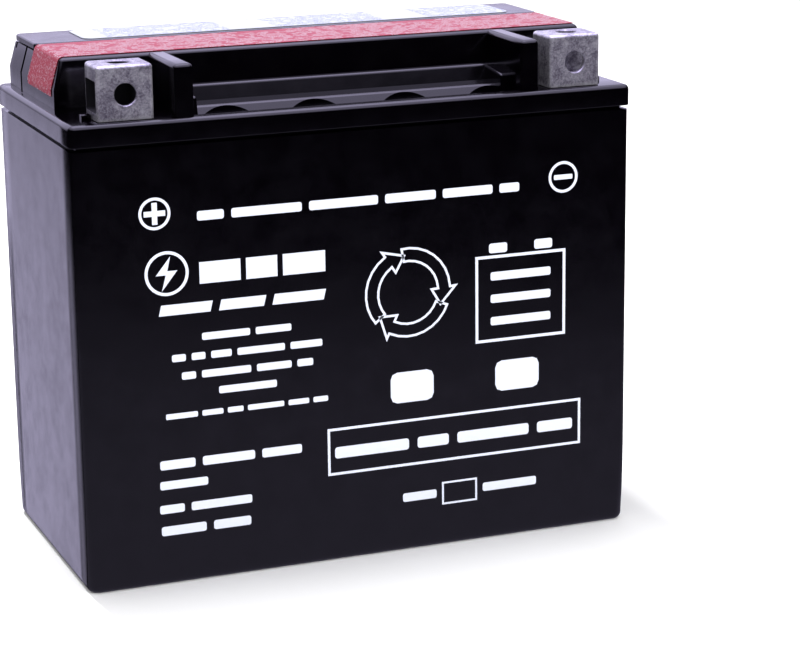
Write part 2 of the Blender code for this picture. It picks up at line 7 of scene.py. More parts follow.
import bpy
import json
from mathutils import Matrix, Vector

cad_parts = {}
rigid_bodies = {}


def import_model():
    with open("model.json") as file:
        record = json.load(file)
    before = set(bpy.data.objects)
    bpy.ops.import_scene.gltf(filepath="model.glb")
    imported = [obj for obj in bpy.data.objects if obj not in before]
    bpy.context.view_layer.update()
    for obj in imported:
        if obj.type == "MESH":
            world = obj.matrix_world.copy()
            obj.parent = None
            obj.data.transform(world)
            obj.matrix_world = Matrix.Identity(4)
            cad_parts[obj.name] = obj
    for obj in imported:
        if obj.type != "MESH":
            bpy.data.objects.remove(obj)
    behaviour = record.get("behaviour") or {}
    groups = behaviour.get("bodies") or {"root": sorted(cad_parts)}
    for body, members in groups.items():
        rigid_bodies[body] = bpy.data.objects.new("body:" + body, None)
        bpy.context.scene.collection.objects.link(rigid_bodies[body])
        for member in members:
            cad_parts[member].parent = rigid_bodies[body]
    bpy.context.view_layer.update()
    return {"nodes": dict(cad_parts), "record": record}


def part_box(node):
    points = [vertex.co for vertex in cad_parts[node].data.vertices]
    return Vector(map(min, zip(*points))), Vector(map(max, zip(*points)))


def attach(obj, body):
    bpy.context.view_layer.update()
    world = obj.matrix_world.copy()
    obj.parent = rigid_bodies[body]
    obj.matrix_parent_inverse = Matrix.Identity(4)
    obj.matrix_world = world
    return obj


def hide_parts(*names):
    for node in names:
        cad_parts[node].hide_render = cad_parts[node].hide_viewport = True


bl_info = {
    "name": "Motorcycle battery",
    "version": (1, 0, 0),
    "blender": (4, 5, 0),
    "location": "3D View > Sidebar > Battery",
    "description": "Models the case, lid, cap strip, terminals, labels and print of a sealed battery",
    "category": "Object",
}

import json
import math
import random
from contextlib import contextmanager
from types import SimpleNamespace

import bmesh
import bpy
from bpy.props import FloatProperty, FloatVectorProperty, PointerProperty
from mathutils import Matrix, Vector

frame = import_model()

MM = 0.001
CELLS = 6


def node_box(node):
    """The lowest and highest corners of a CAD node, in millimetres."""
    low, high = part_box(node)
    return low / MM, high / MM


TUB_LOW, TUB_HIGH = node_box("container")
LID_LOW, LID_HIGH = node_box("lid")
STRIP_LOW, STRIP_HIGH = node_box("cap_strip")
VALVE_LOW, VALVE_HIGH = node_box("relief_valve")
ARRESTOR_LOW, ARRESTOR_HIGH = node_box("flame_arrestor")
TERMINAL_LOW, TERMINAL_HIGH = node_box("negative_terminal")
WHITE_LOW, WHITE_HIGH = node_box("strip_label")
RED_LOW, RED_HIGH = node_box("block_label")
SEPARATORS = [node_box(f"separator_{index + 1}") for index in range(CELLS)]
CELL_X = [(low.x + high.x) / 2 for low, high in SEPARATORS]
CELL_PITCH = CELL_X[1] - CELL_X[0]
PARTITION = 1.8
CELL_LENGTH = CELL_PITCH - PARTITION
INNER_HALF_Y = TUB_HIGH.y - 3.0

# The lid's own shape. The block's ends and front lean in above a fold.
SKIRT_Z, DECK_Z, DECK_UNDER_Z = 132.6, 139.0, 134.2
BLOCK_X, BLOCK_TOP_X = 85.0, 82.3
BLOCK_FRONT, BLOCK_TOP_FRONT, BLOCK_REAR = -18.7, -16.3, 37.2
FOLD_Z, BLOCK_TOP_Z = 145.3, 154.4
FIN_LEFT, FIN_RIGHT, FIN_FRONT = (-56.2, -50.3), (51.7, 57.5), -42.4
TROUGH_FRONT, TROUGH_Z = -38.6, 136.7
LEDGE_Y, LEDGE_Z = -31.6, 140.4
SHELF_Y, SHELF_Z = -22.0, 145.0
STEP_Y, STEP_Z, STRIP_ROOF_Z = 12.8, 152.7, 145.5
STRIP_UNDER_Z = 153.0
PORT_R = 6.6

TERMINAL_X = (TERMINAL_LOW.x + TERMINAL_HIGH.x) / 2
TERMINAL_Y = (TERMINAL_LOW.y + TERMINAL_HIGH.y) / 2
BOLT_Z = 146.6
NUT_SLOT_HALF_Y, NUT_SLOT_Z, NUT_SLOT_DEPTH = 5.1, (141.4, 150.5), 13.2

FRONT_Y = TUB_LOW.y                # the front face, which the print lies on


def to_linear(code):
    """An sRGB hex colour as the linear red, green and blue that shaders take."""
    channels = [int(code[index:index + 2], 16) / 255 for index in (1, 3, 5)]
    return [value / 12.92 if value <= 0.04045 else ((value + 0.055) / 1.055) ** 2.4 for value in channels]


def length(name, description, default, low=0.0, high=10.0):
    return FloatProperty(name=name, description=description, default=default * MM, min=low * MM,
                         max=high * MM, unit="LENGTH", subtype="DISTANCE", precision=5)


def colour(name, description, code):
    return FloatVectorProperty(name=name, description=description, default=to_linear(code), size=3, min=0.0,
                               max=1.0, subtype="COLOR")


class BatterySizes(bpy.types.PropertyGroup):
    """Sizes that change the look but not the outline of the battery."""
    tub_corner_top: length("Case corner, top", "Corner radius of the case under the lid", 1.9)
    tub_corner_foot: length("Case corner, foot", "Corner radius of the case at its foot", 3.6)
    tub_foot: length("Foot rounding", "Radius under the case all round", 2.0)
    lid_corner: length("Lid corner", "Radius of the lid's four corners", 2.0)
    lid_edge: length("Lid edge", "Radius along the lid's top edge", 1.6)
    block_edge: length("Block edge", "Radius along the raised block's edges", 1.1)
    fin_edge: length("Fin edge", "Radius along the fins' edges", 1.5)
    ledge_edge: length("Ledge edge", "Radius along the ledges in the front recess", 0.8)
    strip_edge: length("Strip edge", "Radius along the cap strip's top edge", 0.6)
    terminal_edge: length("Terminal edge", "Radius along the terminals' edges", 1.2)
    bolt_hole: length("Bolt hole", "Width of the terminals' bolt holes", 6.4)
    film: length("Film", "Thickness of the labels", 0.15)
    print_thickness: length("Print", "Thickness of the ink on the front face", 0.03)


class BatteryColours(bpy.types.PropertyGroup):
    """Colours of the finishes."""
    plastic: colour("Black plastic", "Case and lid", "#010002")
    strip: colour("Strip plastic", "Cap strip", "#0B0A0D")
    lead: colour("Cast lead", "Terminals, clean metal", "#C2BFCA")
    lead_dark: colour("Tarnished lead", "Terminals, dull patches", "#625C6C")
    ink: colour("White ink", "Print on the front face", "#D6DAEA")
    red_film: colour("Red film", "Label on the block", "#822030")
    red_print: colour("Red label's print", "Small print on the red label", "#9E8A92")
    white_film: colour("White film", "Label on the cap strip", "#A6A9B3")
    white_print: colour("White label's print", "Small print on the white label", "#4E5890")
    floor: colour("Floor", "Studio floor", "#F6F6F6")


def sizes_in_mm():
    """The scene's battery sizes by name, in millimetres."""
    group = bpy.context.scene.battery_sizes
    return SimpleNamespace(**{name: getattr(group, name) / MM for name in BatterySizes.__annotations__})


# Modelling helpers


def deselect():
    bpy.ops.object.select_all(action="DESELECT")


def activate(piece):
    deselect()
    piece.select_set(True)
    bpy.context.view_layer.objects.active = piece


@contextmanager
def edit_mode(piece, element="FACE"):
    """Edits a piece with nothing selected at the start."""
    activate(piece)
    bpy.ops.object.mode_set(mode="EDIT")
    bpy.ops.mesh.select_mode(type=element)
    bpy.ops.mesh.select_all(action="DESELECT")
    yield
    bpy.ops.object.mode_set(mode="OBJECT")


def new_block(name, low, high):
    """A cube primitive between two corners in millimetres, its place kept in its mesh."""
    deselect()
    centre = (Vector(low) + Vector(high)) * MM / 2
    bpy.ops.mesh.primitive_cube_add(size=1.0, location=centre, scale=(Vector(high) - Vector(low)) * MM)
    return keep_place(name)


def new_rod(name, radius, depth, centre, axis="Z", sides=48):
    """A cylinder primitive along one axis."""
    deselect()
    turn = {"X": (0, math.pi / 2, 0), "Y": (math.pi / 2, 0, 0), "Z": (0, 0, 0)}[axis]
    bpy.ops.mesh.primitive_cylinder_add(vertices=sides, radius=radius * MM, depth=depth * MM,
                                        location=Vector(centre) * MM, rotation=turn)
    return keep_place(name)


def new_empty_mesh(name):
    """A mesh piece with nothing in it yet."""
    deselect()
    bpy.ops.mesh.primitive_plane_add(size=MM)
    piece = keep_place(name)
    with edit_mode(piece, "VERT"):
        bpy.ops.mesh.select_all(action="SELECT")
        bpy.ops.mesh.delete(type="VERT")
    return piece


def keep_place(name):
    bpy.ops.object.transform_apply(location=True, rotation=True, scale=True)
    piece = bpy.context.object
    piece.name = piece.data.name = name
    return piece


def select_edges(piece, wanted):
    """Selects the edges whose middle, in millimetres, and direction pass the test."""
    mesh = bmesh.from_edit_mesh(piece.data)
    for edge in mesh.edges:
        first, second = [vertex.co / MM for vertex in edge.verts]
        if wanted((first + second) / 2, (second - first).normalized()):
            edge.select_set(True)
    bmesh.update_edit_mesh(piece.data)


def select_faces(piece, wanted):
    """Selects the faces whose centre, in millimetres, and normal pass the test."""
    mesh = bmesh.from_edit_mesh(piece.data)
    for face in mesh.faces:
        if wanted(face.calc_center_median() / MM, face.normal):
            face.select_set(True)
    bmesh.update_edit_mesh(piece.data)


def round_edges(piece, radius, segments, wanted):
    with edit_mode(piece, "EDGE"):
        select_edges(piece, wanted)
        bpy.ops.mesh.bevel(offset=radius * MM, segments=segments, affect="EDGES")


def combine(piece, helpers, operation):
    for helper in helpers:
        activate(piece)
        boolean = piece.modifiers.new("combine", "BOOLEAN")
        boolean.operation = operation
        boolean.solver = "EXACT"
        boolean.object = helper
        bpy.ops.object.modifier_apply(modifier=boolean.name)
        bpy.data.objects.remove(helper)


def cut(piece, *helpers):
    combine(piece, helpers, "DIFFERENCE")


def add(piece, *helpers):
    combine(piece, helpers, "UNION")


def draw_path(points, closed=False):
    """In edit mode, sets down one vertex and extrudes it from point to point."""
    bpy.ops.mesh.select_all(action="DESELECT")
    bpy.ops.mesh.primitive_plane_add(size=MM, location=Vector(points[0]) * MM)
    bpy.ops.mesh.merge(type="CENTER")
    for start, end in zip(points, points[1:]):
        step = (Vector(end) - Vector(start)) * MM
        bpy.ops.mesh.extrude_region_move(TRANSFORM_OT_translate={"value": step})
    bpy.ops.mesh.select_linked()
    if closed:
        bpy.ops.mesh.edge_face_add()


def new_turned(name, profile, centre, steps=48, axis="Z"):
    """Draws a closed or pole-to-pole profile of (radius, height) and spins it about an axis."""
    piece = new_empty_mesh(name)
    centre = Vector(centre)
    along = {"X": Vector((1, 0, 0)), "Y": Vector((0, 1, 0)), "Z": Vector((0, 0, 1))}[axis]
    out = Vector((0, 0, 1)) if axis == "X" else Vector((1, 0, 0))
    with edit_mode(piece, "VERT"):
        draw_path([centre + radius * out + height * along for radius, height in profile])
        bpy.ops.mesh.spin(steps=steps, angle=2 * math.pi, center=centre * MM, axis=along)
        tidy_surface()
    return piece


def tidy_surface():
    """In edit mode, merges doubles and turns all faces outwards."""
    bpy.ops.mesh.select_all(action="SELECT")
    bpy.ops.mesh.remove_doubles(threshold=0.002 * MM)
    bpy.ops.mesh.normals_make_consistent(inside=False)


def arc(centre, radius, start, end, steps):
    """Points on an arc in a plane, its angles in degrees."""
    turns = [math.radians(start + (end - start) * step / steps) for step in range(steps + 1)]
    return [(centre[0] + radius * math.cos(turn), centre[1] + radius * math.sin(turn)) for turn in turns]


def smooth(piece, angle=32.0):
    """Shades round edges smooth and keeps broad faces flat."""
    activate(piece)
    bpy.ops.object.shade_smooth_by_angle(angle=math.radians(angle))
    weighted = piece.modifiers.new("flat faces", "WEIGHTED_NORMAL")
    weighted.keep_sharp = True
    bpy.ops.object.modifier_apply(modifier=weighted.name)


def dress(piece, material, body, slot, *nodes):
    """Gives a finished piece its material, its body and the CAD nodes that it stands for."""
    smooth(piece)
    piece.data.materials.clear()
    piece.data.materials.append(material)
    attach(piece, body)
    if nodes:
        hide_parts(*nodes)


# Materials


def add_node(tree, kind, inputs=None, **settings):
    """Adds a node with its settings; each input takes a value or another node's output."""
    node = tree.nodes.new(kind)
    for key, value in settings.items():
        setattr(node, key, value)
    for key, value in (inputs or {}).items():
        if isinstance(value, bpy.types.NodeSocket):
            tree.links.new(value, node.inputs[key])
        else:
            node.inputs[key].default_value = value
    return node


def new_material(name, **values):
    """A Principled material; returns it, its tree, its shader and Object coordinates in millimetres."""
    material = bpy.data.materials.new(name)
    material.use_nodes = True
    tree = material.node_tree
    shader = tree.nodes["Principled BSDF"]
    for key, value in values.items():
        shader.inputs[key.replace("_", " ")].default_value = value
    place = add_node(tree, "ShaderNodeTexCoord").outputs["Object"]
    scaled = add_node(tree, "ShaderNodeMapping", {"Vector": place, "Scale": (1 / MM, 1 / MM, 1 / MM)})
    return material, tree, shader, scaled.outputs["Vector"]


def opaque(colour_value):
    return (*colour_value, 1.0)


def finish(name, make, *values):
    """A material that is made once and shared by every piece that asks for it."""
    return bpy.data.materials.get(name) or make(name, *values)


def add_ramp(tree, value, stops):
    """A curve through (value, result) stops, for values from -1 to 1."""
    share = add_node(tree, "ShaderNodeMapRange", {"Value": value, "From Min": -1.0})
    ramp = add_node(tree, "ShaderNodeValToRGB", {"Fac": share.outputs["Result"]})
    elements = ramp.color_ramp.elements
    first, last = elements[0], elements[1]
    first.position, first.color = (stops[0][0] + 1) / 2, (*[stops[0][1]] * 3, 1.0)
    last.position, last.color = (stops[-1][0] + 1) / 2, (*[stops[-1][1]] * 3, 1.0)
    for place, result in stops[1:-1]:
        elements.new((place + 1) / 2).color = (*[result] * 3, 1.0)
    return ramp.outputs["Color"]


def add_steps(tree, value, start, end, to_value=1.0):
    """A smooth step that rises to a value between a start and an end."""
    step = add_node(tree, "ShaderNodeMapRange", {"Value": value, "From Min": start, "From Max": end,
                                                 "To Max": to_value}, interpolation_type="SMOOTHSTEP")
    return step.outputs["Result"]


def calculate(tree, operation, first, second):
    return add_node(tree, "ShaderNodeMath", {0: first, 1: second}, operation=operation).outputs[0]


def polypropylene(name, colour_value, roughness):
    """Injection-moulded polypropylene: glossy, faintly wavy where the mould let go, with dull marks."""
    material, tree, shader, place = new_material(name, Base_Color=opaque(colour_value), IOR=1.49)
    wave = add_node(tree, "ShaderNodeTexNoise", {"Vector": place, "Scale": 1 / 14.0, "Detail": 1.0})
    grain = add_node(tree, "ShaderNodeTexNoise", {"Vector": place, "Scale": 1 / 0.35, "Detail": 2.0})
    height = add_node(tree, "ShaderNodeMix", {"Factor": 0.02, "A": wave.outputs["Fac"],
                                              "B": grain.outputs["Fac"]})
    shoulder = add_node(tree, "ShaderNodeBump", {"Height": shrinkage(tree, place), "Distance": MM,
                                                 "Strength": 1.0})
    bump = add_node(tree, "ShaderNodeBump", {"Height": height.outputs["Result"], "Distance": 0.03 * MM,
                                             "Strength": 1.0, "Normal": shoulder.outputs["Normal"]})
    tree.links.new(bump.outputs["Normal"], shader.inputs["Normal"])
    marks = add_node(tree, "ShaderNodeTexNoise", {"Vector": place, "Scale": 1 / 9.0, "Detail": 6.0,
                                                  "Roughness": 0.7})
    gloss = add_node(tree, "ShaderNodeMapRange", {"Value": marks.outputs["Fac"], "From Min": 0.35,
                                                  "From Max": 0.75, "To Min": roughness,
                                                  "To Max": roughness + 0.09})
    tree.links.new(gloss.outputs["Result"], shader.inputs["Roughness"])
    return material


# How far from a vertical edge the ends start to draw in, and how far they have drawn in at it, in mm.
SHRINK_REACH, SHRINK_DEPTH = 11.0, 0.9


def shrinkage(tree, place):
    """How far, in millimetres, the moulding has drawn in near the vertical edges of its two ends."""
    y = add_node(tree, "ShaderNodeSeparateXYZ", {"Vector": place}).outputs["Y"]
    away = add_node(tree, "ShaderNodeMath", {0: y}, operation="ABSOLUTE").outputs[0]
    share = add_node(tree, "ShaderNodeMapRange", {"Value": away, "From Min": TUB_HIGH.y - SHRINK_REACH,
                                                  "From Max": TUB_HIGH.y}).outputs["Result"]
    return calculate(tree, "MULTIPLY", calculate(tree, "MULTIPLY", share, share), -SHRINK_DEPTH)


def cast_lead(name, clean, dull):
    """Cast lead alloy: grey and blotchy with tarnish, rubbed bright along the terminal block's edges."""
    material, tree, shader, place = new_material(name, Metallic=0.72)
    blotch = add_node(tree, "ShaderNodeTexNoise", {"Vector": place, "Scale": 1 / 3.2, "Detail": 7.0,
                                                   "Roughness": 0.68, "Distortion": 0.6})
    flake = add_node(tree, "ShaderNodeTexNoise", {"Vector": place, "Scale": 1 / 0.7, "Detail": 4.0,
                                                  "Roughness": 0.75})
    both = add_node(tree, "ShaderNodeMix", {"Factor": 0.45, "A": blotch.outputs["Fac"],
                                            "B": flake.outputs["Fac"]})
    tarnish = add_node(tree, "ShaderNodeMapRange", {"Value": both.outputs["Result"], "From Min": 0.40,
                                                    "From Max": 0.64})
    split = add_node(tree, "ShaderNodeSeparateXYZ", {"Vector": place})
    middle = (TERMINAL_X, TERMINAL_Y, (TERMINAL_LOW.z + TERMINAL_HIGH.z) / 2)
    half = [(b - a) / 2 for a, b in zip(TERMINAL_LOW, TERMINAL_HIGH)]
    mirrored = add_node(tree, "ShaderNodeMath", {0: split.outputs["X"]}, operation="ABSOLUTE").outputs[0]
    depths = []
    for along, centre, reach in zip((mirrored, split.outputs["Y"], split.outputs["Z"]), middle, half):
        away = calculate(tree, "SUBTRACT", along, centre)
        size = add_node(tree, "ShaderNodeMath", {0: away}, operation="ABSOLUTE").outputs[0]
        depths.append(calculate(tree, "SUBTRACT", size, reach))
    pairs = [calculate(tree, "MINIMUM", depths[first], depths[second])
             for first, second in ((0, 1), (1, 2), (0, 2))]
    edges = calculate(tree, "MAXIMUM", calculate(tree, "MAXIMUM", pairs[0], pairs[1]), pairs[2])
    rub = add_node(tree, "ShaderNodeMapRange", {"Value": edges, "From Min": -1.3, "From Max": -0.2})
    broken = calculate(tree, "MULTIPLY", rub.outputs["Result"], blotch.outputs["Fac"])
    bright = add_node(tree, "ShaderNodeMath", {0: tarnish.outputs["Result"], 1: broken},
                      operation="ADD", use_clamp=True)
    shade = add_node(tree, "ShaderNodeMix", {"Factor": bright.outputs[0], "A": opaque(dull),
                                             "B": opaque(clean)}, data_type="RGBA")
    tree.links.new(shade.outputs["Result"], shader.inputs["Base Color"])
    rough = add_node(tree, "ShaderNodeMapRange", {"Value": bright.outputs[0], "To Min": 0.5, "To Max": 0.3})
    tree.links.new(rough.outputs["Result"], shader.inputs["Roughness"])
    bump = add_node(tree, "ShaderNodeBump", {"Height": both.outputs["Result"], "Distance": 0.12 * MM,
                                             "Strength": 1.0})
    tree.links.new(bump.outputs["Normal"], shader.inputs["Normal"])
    return material


def grainy(name, colour_value, roughness, grain_size, depth, metallic=0.0):
    """A dull surface of fine grain, such as paste, glass mat, rubber or a sintered disc, or the painted shade
    inside a terminal.
    """
    material, tree, shader, place = new_material(name, Metallic=metallic, Roughness=roughness)
    grain = add_node(tree, "ShaderNodeTexNoise", {"Vector": place, "Scale": 1 / grain_size, "Detail": 5.0})
    darker = opaque([value * 0.6 for value in colour_value])
    shade = add_node(tree, "ShaderNodeMix", {"Factor": grain.outputs["Fac"], "A": darker,
                                             "B": opaque(colour_value)}, data_type="RGBA")
    tree.links.new(shade.outputs["Result"], shader.inputs["Base Color"])
    bump = add_node(tree, "ShaderNodeBump", {"Height": grain.outputs["Fac"], "Distance": depth * MM,
                                             "Strength": 1.0})
    tree.links.new(bump.outputs["Normal"], shader.inputs["Normal"])
    return material


# Solid bars along the rear of the red label, left free of print (X in mm), and where they start in Y.
HEADER_BARS = ((-80.0, -59.0), (-20.0, -5.0), (31.0, 46.0))
HEADER_Y = 8.6


def small_print(tree, place, pitch, word, share):
    """A mask of rows along X that are broken into words and letters too fine to read."""
    split = add_node(tree, "ShaderNodeSeparateXYZ", {"Vector": place})
    x, y, z = split.outputs
    row = calculate(tree, "DIVIDE", y, pitch)
    number = add_node(tree, "ShaderNodeMath", {0: row}, operation="FLOOR").outputs[0]
    within = add_node(tree, "ShaderNodeMath", {0: row}, operation="FRACT").outputs[0]
    line = calculate(tree, "MULTIPLY", calculate(tree, "GREATER_THAN", within, 0.2),
                     calculate(tree, "LESS_THAN", within, 0.78))
    words = add_node(tree, "ShaderNodeCombineXYZ", {"X": calculate(tree, "DIVIDE", x, word),
                                                    "Y": calculate(tree, "MULTIPLY", number, 7.3)})
    gaps = add_node(tree, "ShaderNodeTexNoise", {"Vector": words.outputs[0], "Scale": 1.0, "Detail": 1.0})
    letters = add_node(tree, "ShaderNodeTexNoise", {"Vector": place, "Scale": 1 / 0.5, "Detail": 1.0})
    ink = calculate(tree, "MULTIPLY", calculate(tree, "GREATER_THAN", gaps.outputs["Fac"], 0.43),
                    calculate(tree, "GREATER_THAN", letters.outputs["Fac"], share))
    flat_top = calculate(tree, "GREATER_THAN", z, BLOCK_TOP_Z - 0.1)
    print_mask = calculate(tree, "MULTIPLY", calculate(tree, "MULTIPLY", line, ink), flat_top)
    for start, end in HEADER_BARS:
        outside = calculate(tree, "MAXIMUM", calculate(tree, "LESS_THAN", x, start),
                            calculate(tree, "GREATER_THAN", x, end))
        outside = calculate(tree, "MAXIMUM", outside, calculate(tree, "LESS_THAN", y, HEADER_Y))
        print_mask = calculate(tree, "MULTIPLY", print_mask, outside)
    rubbed = calculate(tree, "GREATER_THAN", letters.outputs["Fac"], 0.61)
    return calculate(tree, "MAXIMUM", print_mask,
                     calculate(tree, "MULTIPLY", rubbed, calculate(tree, "SUBTRACT", 1.0, flat_top)))


def printed_film(name, colour_value, roughness, print_colour=None, pitch=2.0, word=3.0, share=0.5):
    """Polyester label film, slightly wavy, with small print unless there is no colour for it."""
    material, tree, shader, place = new_material(name, Base_Color=opaque(colour_value), IOR=1.5,
                                                Specular_IOR_Level=0.06)
    wave = add_node(tree, "ShaderNodeTexNoise", {"Vector": place, "Scale": 1 / 6.0, "Detail": 3.0})
    bump = add_node(tree, "ShaderNodeBump", {"Height": wave.outputs["Fac"], "Distance": 0.04 * MM,
                                             "Strength": 1.0})
    tree.links.new(bump.outputs["Normal"], shader.inputs["Normal"])
    gloss = add_node(tree, "ShaderNodeMapRange", {"Value": wave.outputs["Fac"], "To Min": roughness,
                                                  "To Max": roughness + 0.1})
    tree.links.new(gloss.outputs["Result"], shader.inputs["Roughness"])
    if print_colour is not None:
        mask = small_print(tree, place, pitch, word, share)
        shade = add_node(tree, "ShaderNodeMix", {"Factor": mask, "A": opaque(colour_value),
                                                 "B": opaque(print_colour)}, data_type="RGBA")
        tree.links.new(shade.outputs["Result"], shader.inputs["Base Color"])
    return material


# Stage


# What glossy surfaces see at each height of a ray's direction, behind the battery and in front of it.
BACK_LIGHT = ((-1.0, 0.02), (-0.46, 0.05), (-0.37, 1.05), (-0.30, 1.15), (-0.23, 1.08), (-0.16, 0.75),
              (-0.12, 0.42), (-0.02, 0.55), (0.10, 1.25), (0.40, 1.6), (1.0, 2.0))
FRONT_LIGHT = ((-1.0, 0.42), (-0.262, 0.42), (-0.235, 0.0), (0.45, 0.0), (0.62, 1.7), (0.74, 2.3), (1.0, 2.5))


# The lilac cast of the studio, as linear light.
STUDIO_TINT = (0.93, 0.865, 1.24, 1.0)
# How much of the light behind and below is open, across X: the table, and the narrow rails beside it.
TABLE_WIDTH = ((-1.0, 0.0), (-0.45, 0.02), (-0.40, 0.55), (-0.335, 0.75), (-0.31, 0.0), (-0.28, 0.0),
               (-0.262, 1.0), (-0.15, 1.0), (-0.12, 0.0), (-0.06, 0.0), (-0.03, 0.8), (0.03, 0.8),
               (0.06, 0.0), (1.0, 0.0))


class BATTERY_OT_stage(bpy.types.Operator):
    """Sets up the floor, the studio's surround, the lights and the camera"""
    bl_idname = "battery.stage"
    bl_label = "Stage"

    def execute(self, context):
        context.scene.view_settings.view_transform = "Standard"
        self.add_floor(context)
        self.light_surround(context)
        self.add_strip_light("overhead_strip", (-0.085, 0.425, 1.15), (0.03, 1.0), 20.0)
        self.add_strip_light("front_fill", (0.7, -1.3, 0.9), (0.6, 0.6), 12.0)
        self.add_camera(context)
        return {"FINISHED"}

    def add_floor(self, context):
        deselect()
        bpy.ops.mesh.primitive_plane_add(size=16.0)
        floor = bpy.context.object
        floor.name = "studio_floor"
        floor.visible_glossy = False
        material, tree, shader, place = new_material("matt_painted_floor", Roughness=0.9)
        colour_value = context.scene.battery_colours.floor
        shader.inputs["Base Color"].default_value = opaque(colour_value)
        floor.data.materials.append(material)

    def light_surround(self, context):
        """Even light on matt things; glossy ones see a surround that is bright behind and dark in front."""
        world = bpy.data.worlds.new("studio")
        context.scene.world = world
        world.use_nodes = True
        tree = world.node_tree
        way = add_node(tree, "ShaderNodeTexCoord").outputs["Generated"]
        x, y, z = add_node(tree, "ShaderNodeSeparateXYZ", {"Vector": way}).outputs
        back = add_ramp(tree, z, BACK_LIGHT)
        front = add_ramp(tree, z, FRONT_LIGHT)
        behind = add_steps(tree, y, 0.45, 0.6)
        below = add_steps(tree, z, -0.195, -0.225)
        table = add_ramp(tree, x, TABLE_WIDTH)
        open_left = add_node(tree, "ShaderNodeMix", {"Factor": add_steps(tree, z, -0.14, -0.10),
                                                     "A": add_steps(tree, x, -0.33, -0.28),
                                                     "B": add_steps(tree, x, -0.60, -0.46)})
        width = add_node(tree, "ShaderNodeMix", {"Factor": below, "A": open_left.outputs["Result"],
                                                 "B": table})
        lit = calculate(tree, "MULTIPLY", back, width.outputs["Result"])
        sides = add_node(tree, "ShaderNodeMix", {"Factor": behind, "A": front, "B": lit})
        overhead = add_steps(tree, z, 0.84, 0.93, 5.0)
        total = calculate(tree, "MAXIMUM", sides.outputs["Result"], overhead)
        rays = add_node(tree, "ShaderNodeLightPath")
        tinted = add_node(tree, "ShaderNodeBackground", {"Color": STUDIO_TINT, "Strength": total})
        plain = tree.nodes["Background"]
        plain.inputs["Color"].default_value = (1.0, 1.0, 1.0, 1.0)
        plain.inputs["Strength"].default_value = 0.9
        either = add_node(tree, "ShaderNodeMixShader", {0: rays.outputs["Is Glossy Ray"],
                                                        1: plain.outputs[0], 2: tinted.outputs[0]})
        tree.links.new(either.outputs[0], tree.nodes["World Output"].inputs["Surface"])

    def add_strip_light(self, name, place, size, power):
        """An area light that points at the battery, its long side leading away from it."""
        deselect()
        bpy.ops.object.light_add(type="AREA", location=place)
        light = bpy.context.object
        light.name = name
        light.data.shape = "RECTANGLE"
        light.data.size, light.data.size_y = size
        light.data.energy = power
        way = Vector((0.0, 0.0, 0.05)) - Vector(place)
        light.rotation_euler = way.to_track_quat("-Z", "Y").to_euler()
        light.visible_glossy = False

    def add_camera(self, context):
        deselect()
        yaw, pitch, roll = math.radians(21.693), math.radians(14.59), math.radians(-0.644)
        bpy.ops.object.camera_add(location=(-0.2600, -0.7252, 0.2612))
        camera = bpy.context.object
        turn = (Matrix.Rotation(-yaw, 3, "Z") @ Matrix.Rotation(math.pi / 2 - pitch, 3, "X") @
                Matrix.Rotation(roll, 3, "Z"))
        camera.rotation_euler = turn.to_euler()
        camera.data.sensor_width = 36.0
        camera.data.lens = 113.87
        camera.data.clip_end = 50.0
        context.scene.camera = camera


# Case


def black_plastic():
    """The case's and the lid's plastic."""
    colour_value = bpy.context.scene.battery_colours.plastic
    return finish("moulded_black_polypropylene", polypropylene, colour_value, 0.12)


class BATTERY_OT_container(bpy.types.Operator):
    """Models the case: a tub whose corners round out towards its foot, with six cells"""
    bl_idname = "battery.container"
    bl_label = "Container"

    def execute(self, context):
        size = sizes_in_mm()
        tub = new_empty_mesh("battery_container")
        with edit_mode(tub, "VERT"):
            for z, inset, corner in self.levels(size):
                self.add_ring(z, inset, corner)
            bpy.ops.mesh.select_all(action="SELECT")
            bpy.ops.mesh.bridge_edge_loops()
            bpy.ops.mesh.select_all(action="SELECT")
            bpy.ops.mesh.fill_holes(sides=0)
            tidy_surface()
        self.cut_cells(tub)
        dress(tub, black_plastic(), "battery", "case_plastic", "container")
        return {"FINISHED"}

    def levels(self, size):
        """Height, inset and corner radius of each level, from the underside to the rim."""
        foot = size.tub_foot
        steps = 6
        levels = []
        for step in range(steps):
            turn = math.pi / 2 * step / steps
            inset = foot * (1 - math.sin(turn))
            levels.append((foot * (1 - math.cos(turn)), inset, max(size.tub_corner_foot - inset, 0.6)))
        for z in (foot, 3, 5, 8, 12, 18, 26, 60, TUB_HIGH.z):
            share = max(0.0, 1 - (z - foot) / 24)
            corner = size.tub_corner_top + (size.tub_corner_foot - size.tub_corner_top) * share ** 2
            levels.append((z, 0.0, corner))
        return levels

    def add_ring(self, z, inset, corner):
        """A closed loop with rounded corners, added in edit mode."""
        bpy.ops.mesh.select_all(action="DESELECT")
        bpy.ops.mesh.primitive_plane_add(size=1.0, location=(0, 0, z * MM))
        span = (2 * (TUB_HIGH.x - inset) * MM, 2 * (TUB_HIGH.y - inset) * MM, 1.0)
        bpy.ops.transform.resize(value=span, center_override=(0, 0, z * MM))
        bpy.ops.mesh.bevel(offset=corner * MM, segments=6, affect="VERTICES")
        bpy.ops.mesh.delete(type="ONLY_FACE")

    def cut_cells(self, tub):
        floor_z = 3.2
        for index, x in enumerate(CELL_X):
            half = CELL_LENGTH / 2
            space = new_block(f"cell_{index}", (x - half, -INNER_HALF_Y, floor_z),
                              (x + half, INNER_HALF_Y, TUB_HIGH.z + 5))
            round_edges(space, 1.0, 3, lambda middle, way: abs(way.z) > 0.9)
            cut(tub, space)
        for index in range(CELLS - 1):
            low, high = node_box(f"intercell_weld_{index + 1}")
            middle = (low + high) / 2
            radius = (high.z - low.z) / 2 + 0.35
            cut(tub, new_rod(f"weld_hole_{index}", radius, PARTITION + 2, middle, "X", 32))


# Lid


